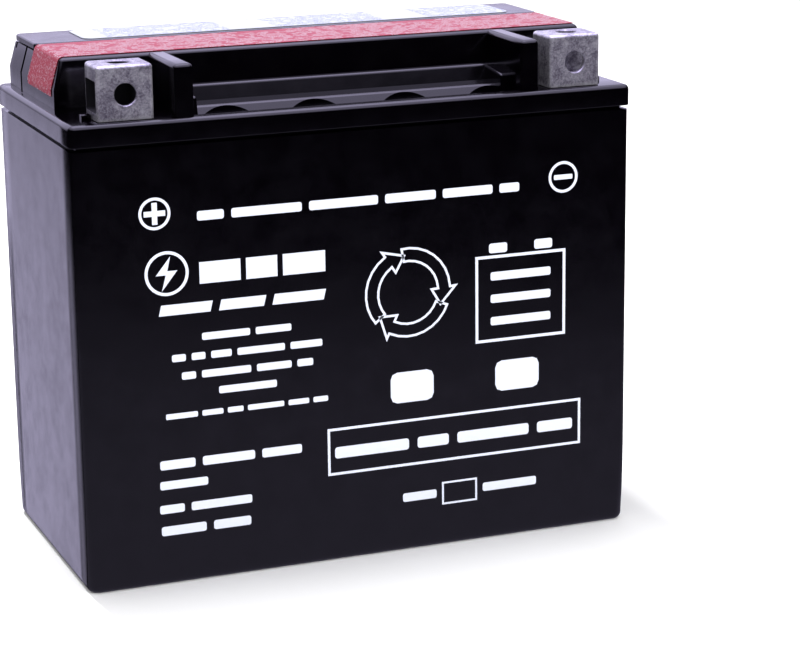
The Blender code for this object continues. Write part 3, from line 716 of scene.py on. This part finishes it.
class BATTERY_OT_lid(bpy.types.Operator):
    """Models the lid with its raised block, the recess between two fins, and the vent"""
    bl_idname = "battery.lid"
    bl_label = "Lid"

    def execute(self, context):
        size = sizes_in_mm()
        lid = self.plate(size)
        add(lid, self.weld_rib(), self.block(size))
        cut(lid, self.trough())
        ledge = self.ledge(size)
        cut(ledge, *[self.lunette(x) for x in (-38.0, -11.0, 17.6, 45.2)])
        add(lid, ledge, self.shelf(size), self.arm(FIN_LEFT[1] - 0.6, 3.9), self.arm(FIN_RIGHT[0] - 3.2, 3.8),
            self.fin("fin_left", FIN_LEFT, size), self.fin("fin_right", FIN_RIGHT, size))
        for side in (-1, 1):
            add(lid, self.terminal_stop(side))
        self.hollow(lid)
        self.cut_strip_seat(lid)
        self.cut_vent(lid)
        for side in (-1, 1):
            self.fit_terminal_seat(lid, side)
        dress(lid, black_plastic(), "battery", "case_plastic", "lid")
        return {"FINISHED"}

    def plate(self, size):
        plate = new_block("battery_lid", (LID_LOW.x, LID_LOW.y, SKIRT_Z), (LID_HIGH.x, LID_HIGH.y, DECK_Z))
        round_edges(plate, size.lid_corner, 8, lambda middle, way: abs(way.z) > 0.9)
        round_edges(plate, size.lid_edge, 6, lambda middle, way: middle.z > DECK_Z - 0.01)
        round_edges(plate, 0.25, 2, lambda middle, way: middle.z < SKIRT_Z + 0.01)
        return plate

    def weld_rib(self):
        inset = 2.3
        rib = new_block("weld_rib", (LID_LOW.x + inset, LID_LOW.y + inset, LID_LOW.z),
                        (LID_HIGH.x - inset, LID_HIGH.y - inset, SKIRT_Z + 1))
        round_edges(rib, 0.6, 4, lambda middle, way: abs(way.z) > 0.9)
        return rib

    def block(self, size):
        block = new_block("block", (-BLOCK_X, BLOCK_FRONT, DECK_Z - 3), (BLOCK_X, BLOCK_REAR, FOLD_Z))
        middle_y = (BLOCK_FRONT + BLOCK_REAR) / 2
        with edit_mode(block):
            select_faces(block, lambda centre, normal: normal.z > 0.9)
            rise = (BLOCK_TOP_Z - FOLD_Z) * MM
            bpy.ops.mesh.extrude_region_move(TRANSFORM_OT_translate={"value": (0, 0, rise)})
            bpy.ops.transform.resize(value=(BLOCK_TOP_X / BLOCK_X, 1, 1),
                                     center_override=(0, middle_y * MM, BLOCK_TOP_Z * MM))
        with edit_mode(block, "EDGE"):
            select_edges(block, lambda middle, way: middle.z > BLOCK_TOP_Z - 0.01 and
                         middle.y < BLOCK_FRONT + 0.01)
            bpy.ops.transform.translate(value=(0, (BLOCK_TOP_FRONT - BLOCK_FRONT) * MM, 0))
        round_edges(block, size.block_edge, 6, lambda middle, way: middle.z > DECK_Z - 2.9 and
                    (abs(way.z) > 0.5 or middle.z > BLOCK_TOP_Z - 0.01))
        return block

    def trough(self):
        trough = new_block("trough", (FIN_LEFT[1] - 1, TROUGH_FRONT, TROUGH_Z),
                           (FIN_RIGHT[0] + 1, LEDGE_Y + 2, DECK_Z + 2))
        round_edges(trough, 0.8, 4, lambda middle, way: abs(way.x) > 0.9 and middle.z < TROUGH_Z + 0.01)
        return trough

    def ledge(self, size):
        """The lower ledge, its front leaning back from the trough."""
        ledge = new_block("ledge", (FIN_LEFT[1] - 1, LEDGE_Y, TROUGH_Z - 1),
                          (FIN_RIGHT[0] + 1, BLOCK_FRONT + 2, LEDGE_Z))
        with edit_mode(ledge, "EDGE"):
            select_edges(ledge, lambda middle, way: middle.y < LEDGE_Y + 0.01 and middle.z < TROUGH_Z)
            bpy.ops.transform.translate(value=(0, -3.4 * MM, 0))
        round_edges(ledge, size.ledge_edge, 5, lambda middle, way: middle.y < LEDGE_Y + 0.01 and
                    middle.z > LEDGE_Z - 0.01)
        return ledge

    def lunette(self, x):
        """An arched pocket that runs straight back into the ledge's leaning front."""
        half, low, rise = 8.3, TROUGH_Z + 0.15, 3.1
        radius = (half ** 2 + rise ** 2) / (2 * rise)
        turn = math.degrees(math.asin(half / radius))
        outline = arc((x, low + rise - radius), radius, 90 - turn, 90 + turn, 12)
        return new_prism("lunette", [(px, LEDGE_Y - 5, pz) for px, pz in outline], (0, 4.7, 0))

    def arm(self, x, width):
        """The end of the shelf, which turns forward beside a fin."""
        outline = [(SHELF_Y + 2, SHELF_Z - 0.1), (-33.6, 143.4), (-35.2, TROUGH_Z + 0.6),
                   (SHELF_Y + 2, TROUGH_Z + 0.6)]
        arm = new_prism("arm", [(x, y, z) for y, z in outline], (width, 0, 0))
        round_edges(arm, 0.7, 4, lambda middle, way: middle.z > TROUGH_Z + 1 and middle.y < SHELF_Y + 1.9)
        return arm

    def terminal_stop(self, side):
        """A small lug on the deck that keeps a terminal from turning."""
        near, far = side * (TERMINAL_HIGH.x + 0.2), side * (TERMINAL_HIGH.x + 3.0)
        stop = new_block("terminal_stop", (min(near, far), TERMINAL_Y - 0.5, DECK_Z - 1),
                         (max(near, far), TERMINAL_Y + 2.9, DECK_Z + 1.7))
        round_edges(stop, 0.5, 4, lambda middle, way: middle.z > DECK_Z)
        return stop

    def shelf(self, size):
        shelf = new_block("shelf", (FIN_LEFT[1] - 0.5, SHELF_Y, LEDGE_Z - 1),
                          (FIN_RIGHT[0] + 0.5, BLOCK_FRONT + 1.5, SHELF_Z))
        with edit_mode(shelf, "EDGE"):
            select_edges(shelf, lambda middle, way: middle.y < SHELF_Y + 0.01 and middle.z < LEDGE_Z)
            bpy.ops.transform.translate(value=(0, -2.0 * MM, 0))
        round_edges(shelf, size.ledge_edge, 5, lambda middle, way: middle.y < SHELF_Y + 0.01 and
                    middle.z > SHELF_Z - 0.01)
        return shelf

    def fin(self, name, across, size):
        fin = new_block(name, (across[0], FIN_FRONT, DECK_Z - 2), (across[1], BLOCK_FRONT + 4, BLOCK_TOP_Z))
        round_edges(fin, size.fin_edge, 6, lambda middle, way: middle.z > DECK_Z - 1.9 and
                    middle.y < BLOCK_FRONT + 3.9)
        return fin

    def hollow(self, lid):
        """The gas space over each cell: shallow under the deck, high under the block."""
        wall = 2.6
        limit = BLOCK_TOP_X - 2.0
        outline = [(-INNER_HALF_Y, SKIRT_Z - 3), (INNER_HALF_Y, SKIRT_Z - 3), (INNER_HALF_Y, DECK_UNDER_Z),
                   (BLOCK_REAR - wall, DECK_UNDER_Z), (BLOCK_REAR - wall, STRIP_ROOF_Z),
                   (STEP_Y - wall, STRIP_ROOF_Z), (STEP_Y - wall, BLOCK_TOP_Z - wall),
                   (BLOCK_TOP_FRONT + wall, BLOCK_TOP_Z - wall), (BLOCK_FRONT + wall, DECK_UNDER_Z),
                   (-INNER_HALF_Y, DECK_UNDER_Z)]
        for index, x in enumerate(CELL_X):
            low, high = max(x - CELL_LENGTH / 2, -limit), min(x + CELL_LENGTH / 2, limit)
            cut(lid, new_prism(f"gas_space_{index}", [(low, y, z) for y, z in outline], (high - low, 0, 0)))

    def cut_strip_seat(self, lid):
        reach = LID_HIGH.x + 5
        cut(lid, new_block("strip_seat", (-reach, STEP_Y, STEP_Z), (reach, LID_HIGH.y + 5, LID_HIGH.z + 5)))
        for index, x in enumerate(CELL_X):
            cut(lid, new_rod(f"port_{index}", PORT_R, 16, (x, self.port_y(), (STRIP_ROOF_Z + STEP_Z) / 2)))

    def port_y(self):
        return (VALVE_LOW.y + VALVE_HIGH.y) / 2

    def cut_vent(self, lid):
        """The valve's pocket round its nipple, the channel to the left end and the disc's pocket."""
        y = self.port_y()
        nipple_r, nipple_z, pocket_r, pocket_z = 2.5, 151.0, 5.4, 147.9
        pocket = [(0, nipple_z), (nipple_r - 0.3, nipple_z), (nipple_r, nipple_z - 0.3), (nipple_r, pocket_z),
                  (pocket_r, pocket_z), (pocket_r, 156), (0, 156)]
        cut(lid, new_turned("valve_pocket", pocket, (0, y, 0)),
            new_rod("nipple_bore", 0.9, 16, (0, y, STRIP_ROOF_Z + 2), sides=20))
        channel_y, half, bottom = 33.8, 0.8, STEP_Z - 1.7
        cut(lid, new_block("channel", (LID_LOW.x, channel_y - half, bottom), (half, channel_y + half, 156)),
            new_block("branch", (-half, y + 3, bottom + 0.1), (half, channel_y + half - 0.1, 157)))
        middle = (ARRESTOR_LOW + ARRESTOR_HIGH) / 2
        radius = (ARRESTOR_HIGH.x - ARRESTOR_LOW.x) / 2 + 0.3
        cut(lid, new_rod("disc_pocket", radius, 10, (middle.x, middle.y, ARRESTOR_LOW.z - 0.3 + 5)))
        cut(lid, self.end_groove())

    def end_groove(self):
        """A groove of even depth down the block's left end."""
        y, half, depth = 21.6, 0.9, 1.6
        outer, lean = BLOCK_X + 4, BLOCK_X - BLOCK_TOP_X
        outline = [(-outer, DECK_Z + 0.2), (-BLOCK_X + depth, DECK_Z + 0.2), (-BLOCK_X + depth, FOLD_Z),
                   (-BLOCK_X + lean + depth, BLOCK_TOP_Z), (-BLOCK_X + lean + depth, 156), (-outer, 156)]
        return new_prism("end_groove", [(x, y - half, z) for x, z in outline], (0, 2 * half, 0))

    def fit_terminal_seat(self, lid, side):
        """A boss under the deck and a stepped hole for the bushing and its seal."""
        x = side * TERMINAL_X
        low, high = LID_LOW.z, DECK_UNDER_Z + 0.6
        add(lid, new_rod("boss", 7.0, high - low, (x, TERMINAL_Y, (low + high) / 2)))
        seal_low, seal_high = node_box("positive_post_seal")
        cut(lid, new_rod("bushing_hole", 5.3, 20, (x, TERMINAL_Y, DECK_Z - 3)),
            new_rod("seal_pocket", 6.4, 6, (x, TERMINAL_Y, seal_low.z - 0.3 + 3)))


def new_prism(name, outline, step):
    """A closed outline of points, filled and extruded by a step."""
    piece = new_empty_mesh(name)
    with edit_mode(piece, "VERT"):
        draw_path(outline, closed=True)
        bpy.ops.mesh.extrude_region_move(TRANSFORM_OT_translate={"value": Vector(step) * MM})
        tidy_surface()
    return piece


# Cap strip


class BATTERY_OT_cap_strip(bpy.types.Operator):
    """Models the cap strip with its six ribbed plugs"""
    bl_idname = "battery.cap_strip"
    bl_label = "Cap strip"

    def execute(self, context):
        size = sizes_in_mm()
        strip = new_block("battery_cap_strip", (STRIP_LOW.x, STRIP_LOW.y, STRIP_UNDER_Z),
                          (STRIP_HIGH.x, STRIP_HIGH.y, STRIP_HIGH.z))
        round_edges(strip, 2.0, 6, lambda middle, way: abs(way.z) > 0.9)
        round_edges(strip, size.strip_edge, 5, lambda middle, way: middle.z > STRIP_HIGH.z - 0.01)
        y = (VALVE_LOW.y + VALVE_HIGH.y) / 2
        for index, x in enumerate(CELL_X):
            add(strip, new_turned(f"plug_{index}", self.plug_profile(), (x, y, 0)))
        plastic = polypropylene("moulded_strip_polypropylene", context.scene.battery_colours.strip, 0.2)
        dress(strip, plastic, "cap_strip", "strip_plastic", "cap_strip")
        return {"FINISHED"}

    def plug_profile(self):
        """Half a plug, from its axis inside the strip round to the axis inside its bore."""
        radius, tip, wall = PORT_R - 0.3, STRIP_LOW.z, 1.6
        top, roof = STRIP_UNDER_Z + 0.8, STRIP_UNDER_Z - 0.6
        waist = radius - 0.45
        profile = [(0, top), (radius, top), (radius, roof - 0.6), (waist, roof - 1.0)]
        for z in (roof - 2.4, roof - 4.2):
            profile += [(waist, z + 0.6), (radius, z), (waist, z - 0.6)]
        profile += [(waist, tip + 0.9), (waist - 0.6, tip), (radius - wall, tip), (radius - wall, roof),
                    (0, roof)]
        return profile


class BATTERY_OT_vent(bpy.types.Operator):
    """Models the relief valve's rubber cap and the porous disc in the vent channel"""
    bl_idname = "battery.vent"
    bl_label = "Vent"

    def execute(self, context):
        radius = (VALVE_HIGH.x - VALVE_LOW.x) / 2
        centre = (VALVE_LOW + VALVE_HIGH) / 2
        low, high, inner, roof = VALVE_LOW.z, VALVE_HIGH.z, radius - 1.2, 151.3
        profile = [(0, high - 0.25), (radius - 1.6, high - 0.25), (radius - 1.3, high)]
        profile += [(x, z) for x, z in arc((radius - 0.5, high - 0.5), 0.5, 90, 0, 4)]
        profile += [(radius - 0.25, high - 1.4), (radius - 0.25, low + 0.9), (radius, low + 0.6),
                    (radius, low), (inner, low), (inner, roof), (0, roof)]
        cap = new_turned("relief_valve_cap", profile, (centre.x, centre.y, 0))
        rubber = grainy("moulded_black_rubber", to_linear("#1C1B1E"), 0.62, 0.5, 0.01)
        dress(cap, rubber, "relief_valve", "rubber", "relief_valve")
        middle = (ARRESTOR_LOW + ARRESTOR_HIGH) / 2
        wide, edge = (ARRESTOR_HIGH.x - ARRESTOR_LOW.x) / 2, 0.25
        low, high = ARRESTOR_LOW.z, ARRESTOR_HIGH.z
        profile = [(0, high), (wide - edge, high), (wide, high - edge), (wide, low + edge),
                   (wide - edge, low), (0, low)]
        disc = new_turned("porous_disc", profile, (middle.x, middle.y, 0))
        porous = grainy("sintered_polypropylene", to_linear("#D9D7D0"), 0.85, 0.25, 0.05)
        dress(disc, porous, "battery", "porous_plastic", "flame_arrestor")
        return {"FINISHED"}


# Terminals


class BATTERY_OT_terminals(bpy.types.Operator):
    """Models the two cast terminal blocks with their bolt holes and nut slots"""
    bl_idname = "battery.terminals"
    bl_label = "Terminals"

    def execute(self, context):
        size = sizes_in_mm()
        colours = context.scene.battery_colours
        lead = cast_lead("cast_lead_alloy", colours.lead, colours.lead_dark)
        for tag, side in (("positive", -1), ("negative", 1)):
            block = self.block(f"{tag}_terminal_block", side, size)
            dress(block, lead, "battery", "terminal_lead", f"{tag}_terminal")
            # Only the positive terminal gets painted shade inside its slot and holes; the negative one keeps
            # its plain lead.
            if side < 0:
                self.paint_shade_inside(block, side)
        return {"FINISHED"}

    def block(self, name, side, size):
        x = side * TERMINAL_X
        half_x = (TERMINAL_HIGH.x - TERMINAL_LOW.x) / 2
        block = new_block(name, (x - half_x, TERMINAL_LOW.y, TERMINAL_LOW.z),
                          (x + half_x, TERMINAL_HIGH.y, TERMINAL_HIGH.z))
        round_edges(block, size.terminal_edge, 6, lambda middle, way: middle.z > TERMINAL_LOW.z + 0.1)
        inner, outer = sorted((x + side * (half_x - NUT_SLOT_DEPTH), x + side * (half_x + 2)))
        slot = new_block("nut_slot", (inner, TERMINAL_Y - NUT_SLOT_HALF_Y, NUT_SLOT_Z[0]),
                         (outer, TERMINAL_Y + NUT_SLOT_HALF_Y, NUT_SLOT_Z[1]))
        round_edges(slot, 0.6, 4, lambda middle, way: abs(way.x) > 0.9)
        cut(block, slot, self.bolt_hole((x, TERMINAL_LOW.y, BOLT_Z), 1, "Y", size),
            self.bolt_hole((x, TERMINAL_Y, TERMINAL_HIGH.z), -1, "Z", size))
        return block

    def paint_shade_inside(self, block, side):
        """Paints shade on the walls of the slot and the holes: a near-black grainy finish stands in for the
        shade inside them.
        """
        # The near-black colour is painted shade, not the lead's own colour.
        block.data.materials.append(finish("painted_shade_lead", grainy, to_linear("#0C0B0E"), 0.8, 0.6, 0.05))
        width = TERMINAL_HIGH.x - TERMINAL_LOW.x
        low = Vector((side * TERMINAL_X - width / 2, TERMINAL_LOW.y, TERMINAL_LOW.z))
        high = Vector((low.x + width, TERMINAL_HIGH.y, TERMINAL_HIGH.z))
        for face in block.data.polygons:
            centre = face.center / MM
            if min(*(centre - low), *(high - centre)) > 0.45:
                face.material_index = 1

    def bolt_hole(self, mouth, way, axis, size):
        """A cutter for a hole with a small chamfer at its mouth, pointing inwards along way."""
        radius, chamfer, depth = size.bolt_hole / 2, 0.3, 8.0
        profile = [(0, -1.0), (radius + chamfer + 1.0, -1.0), (radius, chamfer), (radius, depth), (0, depth)]
        return new_turned("bolt_hole", [(r, way * along) for r, along in profile], mouth, axis=axis)


# Labels


# The white label's front and rear edge: it leaves a margin of the strip bare behind it.
WHITE_FRONT, WHITE_REAR = 16.1, 36.2


class BATTERY_OT_labels(bpy.types.Operator):
    """Models the white label on the cap strip and the red label folded over the block's left end"""
    bl_idname = "battery.labels"
    bl_label = "Labels"

    def execute(self, context):
        size = sizes_in_mm()
        colours = context.scene.battery_colours
        white = printed_film("white_polyester_film", colours.white_film, 0.3, colours.white_print,
                             pitch=2.3, word=2.5, share=0.49)
        dress(self.white_label(size), white, "cap_strip", "white_film", "strip_label")
        red = printed_film("red_polyester_film", colours.red_film, 0.3, colours.red_print,
                           pitch=1.9, word=4.0, share=0.45)
        dress(self.red_label(size), red, "battery", "red_film", "block_label")
        return {"FINISHED"}

    def white_label(self, size):
        low = Vector((WHITE_LOW.x, WHITE_FRONT, WHITE_LOW.z))
        high = Vector((WHITE_HIGH.x, WHITE_REAR, WHITE_HIGH.z))
        label = new_block("strip_label_film", low, high)
        round_edges(label, 3.0, 8, lambda middle, way: abs(way.z) > 0.9)
        return label

    def red_label(self, size):
        """A film that follows the block's top, its rounded left edge, its fold and its end."""
        low_z, gap = RED_LOW.z + 1.1, 0.1
        lean = math.degrees(math.atan2(BLOCK_X - BLOCK_TOP_X, BLOCK_TOP_Z - FOLD_Z))
        radius = size.block_edge * math.tan(math.radians(45 + lean / 2))
        centre = (-BLOCK_TOP_X + size.block_edge, BLOCK_TOP_Z - radius)
        path = [(RED_HIGH.x, BLOCK_TOP_Z + gap)] + arc(centre, radius + gap, 90, 180 - lean, 6)
        path += [(-BLOCK_X - gap, FOLD_Z), (-BLOCK_X - gap, low_z)]
        label = new_empty_mesh("block_label_film")
        front, rear = RED_LOW.y, RED_HIGH.y
        with edit_mode(label, "VERT"):
            draw_path([(x, front, z) for x, z in path])
            bpy.ops.mesh.extrude_region_move(TRANSFORM_OT_translate={"value": (0, (rear - front) * MM, 0)})
            bpy.ops.mesh.select_all(action="SELECT")
            bpy.ops.mesh.normals_make_consistent(inside=False)
        activate(label)
        wall = label.modifiers.new("thickness", "SOLIDIFY")
        wall.thickness = size.film * MM
        wall.offset = 1.0
        bpy.ops.object.modifier_apply(modifier=wall.name)
        return label


# Print on the front face


class BATTERY_OT_front_print(bpy.types.Operator):
    """Lays the white print on the front face: polarity signs, emblem, word bars and pictograms"""
    bl_idname = "battery.front_print"
    bl_label = "Front print"

    def execute(self, context):
        size = sizes_in_mm()
        ink = printed_film("white_pad_ink", context.scene.battery_colours.ink, 0.5)
        pieces = (("print_polarity", self.polarity), ("print_emblem", self.emblem),
                  ("print_words", self.words), ("print_loop", self.loop),
                  ("print_battery_sign", self.battery_sign))
        for name, draw in pieces:
            piece = new_empty_mesh(name)
            with edit_mode(piece, "VERT"):
                draw()
                self.thicken(size)
            dress(piece, ink, "battery", "white_film")
        return {"FINISHED"}

    def thicken(self, size):
        """Gives the flat shapes in edit mode their thickness, towards the front."""
        bpy.ops.mesh.select_all(action="SELECT")
        step = (0, -size.print_thickness * MM, 0)
        bpy.ops.mesh.extrude_region_move(TRANSFORM_OT_translate={"value": step})
        tidy_surface()

    def polarity(self):
        """A ringed plus by the left terminal and a ringed minus by the right one."""
        ring(-63.6, 112.2, 4.75, 0.85)
        plus_sign(-63.6, 112.2, 3.2, 0.8)
        ring(65.1, 112.2, 4.85, 0.85)
        bar(65.1, 112.2, 6.2, 1.5)

    def emblem(self):
        """A lightning bolt in a ring, with a heading's bars beside it and under it."""
        ring(-60.6, 94.4, 6.6, 0.9)
        bolt = ((-59.4, 99.4), (-63.9, 93.9), (-60.9, 93.9), (-62.2, 89.2), (-57.4, 95.1), (-60.4, 95.1))
        draw_path(flat(bolt), closed=True)
        for low, high in ((-50.8, -38.3), (-36.6, -27.0), (-25.3, -12.1)):
            slanted_bar(low, high, 90.4, 96.8, 0.0)
        for low, high in ((-63.4, -47.0), (-45.2, -30.6), (-28.8, -12.0)):
            slanted_bar(low, high, 81.9, 85.1, 0.25)

    def words(self):
        """Every other line of small print, as a row of bars as long as words."""
        for low, high, bottom, top in WORD_ROWS:
            word_row(low, high, bottom, top)
        frame_of(-12.4, 71.4, 27.1, 41.8, 0.8)
        frame_of(24.6, 36.3, 13.1, 20.4, 0.6)
        bar(15.1, 52.0, 14.0, 9.6)
        bar(49.8, 52.0, 14.6, 9.6)

    def loop(self):
        """Three curved arrows that chase each other round a ring."""
        for start in (100, 220, 340):
            curved_arrow(14.1, 81.3, 11.6, 4.6, start, start - 96, 0.7)

    def battery_sign(self):
        """A battery in outline, with two posts and three level bars."""
        frame_of(36.0, 66.0, 63.0, 90.0, 0.9)
        for x in (43.5, 58.5):
            bar(x, 92.2, 6.0, 3.0)
        for z in (69.5, 76.5, 83.5):
            bar(51.0, z, 20.0, 2.6)


# Left end, right end, bottom and top of each row of small print.
WORD_ROWS = ((-51.0, 50.5, 108.2, 112.7), (-50.6, -23.1, 72.9, 76.4), (-59.9, -13.5, 67.2, 70.7),
             (-57.1, -16.5, 61.6, 65.2), (-45.9, -28.0, 56.2, 59.8), (-62.3, -12.0, 50.2, 52.9),
             (-64.6, -20.6, 34.7, 39.2), (-64.8, -50.1, 28.7, 32.8), (-65.1, -36.6, 21.3, 25.5),
             (-64.8, -37.1, 14.4, 19.0), (-10.1, 68.6, 31.2, 36.9), (11.7, 22.8, 14.8, 19.2),
             (38.2, 56.3, 14.8, 19.2))


def flat(points):
    """Points of the front plane, just clear of the plastic."""
    return [(x, FRONT_Y - 0.01, z) for x, z in points]


def bar(x, z, width, height):
    """A bar with softened corners, centred on x and z."""
    centre = Vector(flat([(x, z)])[0]) * MM
    bpy.ops.mesh.select_all(action="DESELECT")
    bpy.ops.mesh.primitive_plane_add(size=1.0, location=centre, rotation=(math.pi / 2, 0, 0))
    bpy.ops.transform.resize(value=(width * MM, 1, height * MM), center_override=centre)
    bpy.ops.mesh.bevel(offset=min(width, height) * 0.22 * MM, segments=2, affect="VERTICES")


def slanted_bar(low, high, bottom, top, lean):
    """A bar from low to high, its upper edge shifted to the right."""
    shift = (top - bottom) * lean
    draw_path(flat(((low, bottom), (high - shift, bottom), (high, top), (low + shift, top))), closed=True)


def line(start, end, width):
    """A straight stroke between two points."""
    (x0, z0), (x1, z1) = start, end
    run = math.hypot(x1 - x0, z1 - z0)
    across = ((z0 - z1) / run * width / 2, (x1 - x0) / run * width / 2)
    draw_path(flat(((x0 - across[0], z0 - across[1]), (x1 - across[0], z1 - across[1]),
                    (x1 + across[0], z1 + across[1]), (x0 + across[0], z0 + across[1]))), closed=True)


def word_row(low, high, bottom, top):
    """Bars as long as words, with their lengths drawn by chance, from low to high."""
    chance = random.Random(round(bottom * 10))
    letter, gap = (top - bottom) * 0.6, (top - bottom) * 0.5
    x = low
    while x < high - letter:
        width = letter * chance.randint(2, 8)
        if x + width + gap + 2 * letter > high:
            width = high - x
        bar(x + width / 2, (bottom + top) / 2, width, (top - bottom) * 0.62)
        x += width + gap


def ring(x, z, radius, width):
    """A flat ring, its outer radius given."""
    draw_path(flat(arc((x, z), radius, 0, 360 - 7.5, 47)), closed=True)
    hollow_out(width)


def frame_of(low, high, bottom, top, width):
    """A rectangle's outline."""
    draw_path(flat(((low, bottom), (high, bottom), (high, top), (low, top))), closed=True)
    hollow_out(width)


def curved_arrow(x, z, radius, width, start, end, stroke):
    """The outline of an arrow bent round a centre, its head at the end angle."""
    head = math.copysign(34, end - start)
    turn = math.radians(end)
    tip = math.radians(end + head * 0.9)
    points = arc((x, z), radius + width / 2, start, end, 8)
    points += [(x + (radius + width) * math.cos(turn), z + (radius + width) * math.sin(turn)),
               (x + radius * math.cos(tip), z + radius * math.sin(tip)),
               (x + (radius - width) * math.cos(turn), z + (radius - width) * math.sin(turn))]
    points += arc((x, z), radius - width / 2, end, start, 8)
    draw_path(flat(points), closed=True)
    hollow_out(stroke)


def hollow_out(width):
    """Keeps only a line of the given width round the flat shape that is selected."""
    bpy.ops.mesh.select_mode(type="FACE")
    bpy.ops.mesh.inset(thickness=width * MM)
    bpy.ops.mesh.delete(type="FACE")
    bpy.ops.mesh.select_mode(type="VERT")


def plus_sign(x, z, reach, half):
    corners = [(reach, half), (half, half), (half, reach)]
    points = []
    for quarter in range(4):
        turn = math.radians(90 * quarter)
        for px, pz in corners:
            points.append((x + px * math.cos(turn) - pz * math.sin(turn),
                           z + px * math.sin(turn) + pz * math.cos(turn)))
    draw_path(flat(points), closed=True)


# Inner pieces


class BATTERY_OT_inner_pieces(bpy.types.Operator):
    """Gives the plates, mats, posts, bushings and seals their materials"""
    bl_idname = "battery.inner_pieces"
    bl_label = "Inner pieces"

    def execute(self, context):
        finishes = {
            "plate_lead": grainy("cast_lead_plate", to_linear("#8C8A92"), 0.55, 1.2, 0.05, metallic=1.0),
            "positive_paste": grainy("lead_dioxide_paste", to_linear("#6B4534"), 0.9, 0.8, 0.08),
            "glass_mat": grainy("absorbent_glass_mat", to_linear("#E4E3DE"), 0.95, 0.4, 0.1),
            "rubber": grainy("moulded_seal_rubber", to_linear("#1C1B1E"), 0.6, 0.5, 0.01),
        }
        covered = {"container", "lid", "cap_strip", "relief_valve", "flame_arrestor", "strip_label",
                   "block_label", "positive_terminal", "negative_terminal"}
        slots = {part["node"]: part["material_slot"] for part in frame["record"]["subparts"]}
        for name, node in frame["nodes"].items():
            if name not in covered:
                node.data.materials.clear()
                node.data.materials.append(finishes[slots[name]])
        return {"FINISHED"}


OPERATORS = (BATTERY_OT_stage, BATTERY_OT_container, BATTERY_OT_lid, BATTERY_OT_cap_strip, BATTERY_OT_vent,
             BATTERY_OT_terminals, BATTERY_OT_labels, BATTERY_OT_front_print, BATTERY_OT_inner_pieces)


class VIEW3D_PT_battery(bpy.types.Panel):
    """Lists the battery's pieces in the sidebar"""
    bl_label = "Battery"
    bl_space_type = "VIEW_3D"
    bl_region_type = "UI"
    bl_category = "Battery"

    def draw(self, context):
        for group in (context.scene.battery_sizes, context.scene.battery_colours):
            for name in type(group).__annotations__:
                self.layout.prop(group, name)
        for operator in OPERATORS:
            self.layout.operator(operator.bl_idname)


CLASSES = (BatterySizes, BatteryColours, *OPERATORS, VIEW3D_PT_battery)


def register():
    for item in CLASSES:
        bpy.utils.register_class(item)
    bpy.types.Scene.battery_sizes = PointerProperty(type=BatterySizes)
    bpy.types.Scene.battery_colours = PointerProperty(type=BatteryColours)


def unregister():
    del bpy.types.Scene.battery_colours
    del bpy.types.Scene.battery_sizes
    for item in reversed(CLASSES):
        bpy.utils.unregister_class(item)


def main():
    register()
    bpy.ops.battery.stage()
    bpy.ops.battery.container()
    bpy.ops.battery.lid()
    bpy.ops.battery.cap_strip()
    bpy.ops.battery.vent()
    bpy.ops.battery.terminals()
    bpy.ops.battery.labels()
    bpy.ops.battery.front_print()
    bpy.ops.battery.inner_pieces()


if __name__ == "__main__":
    main()
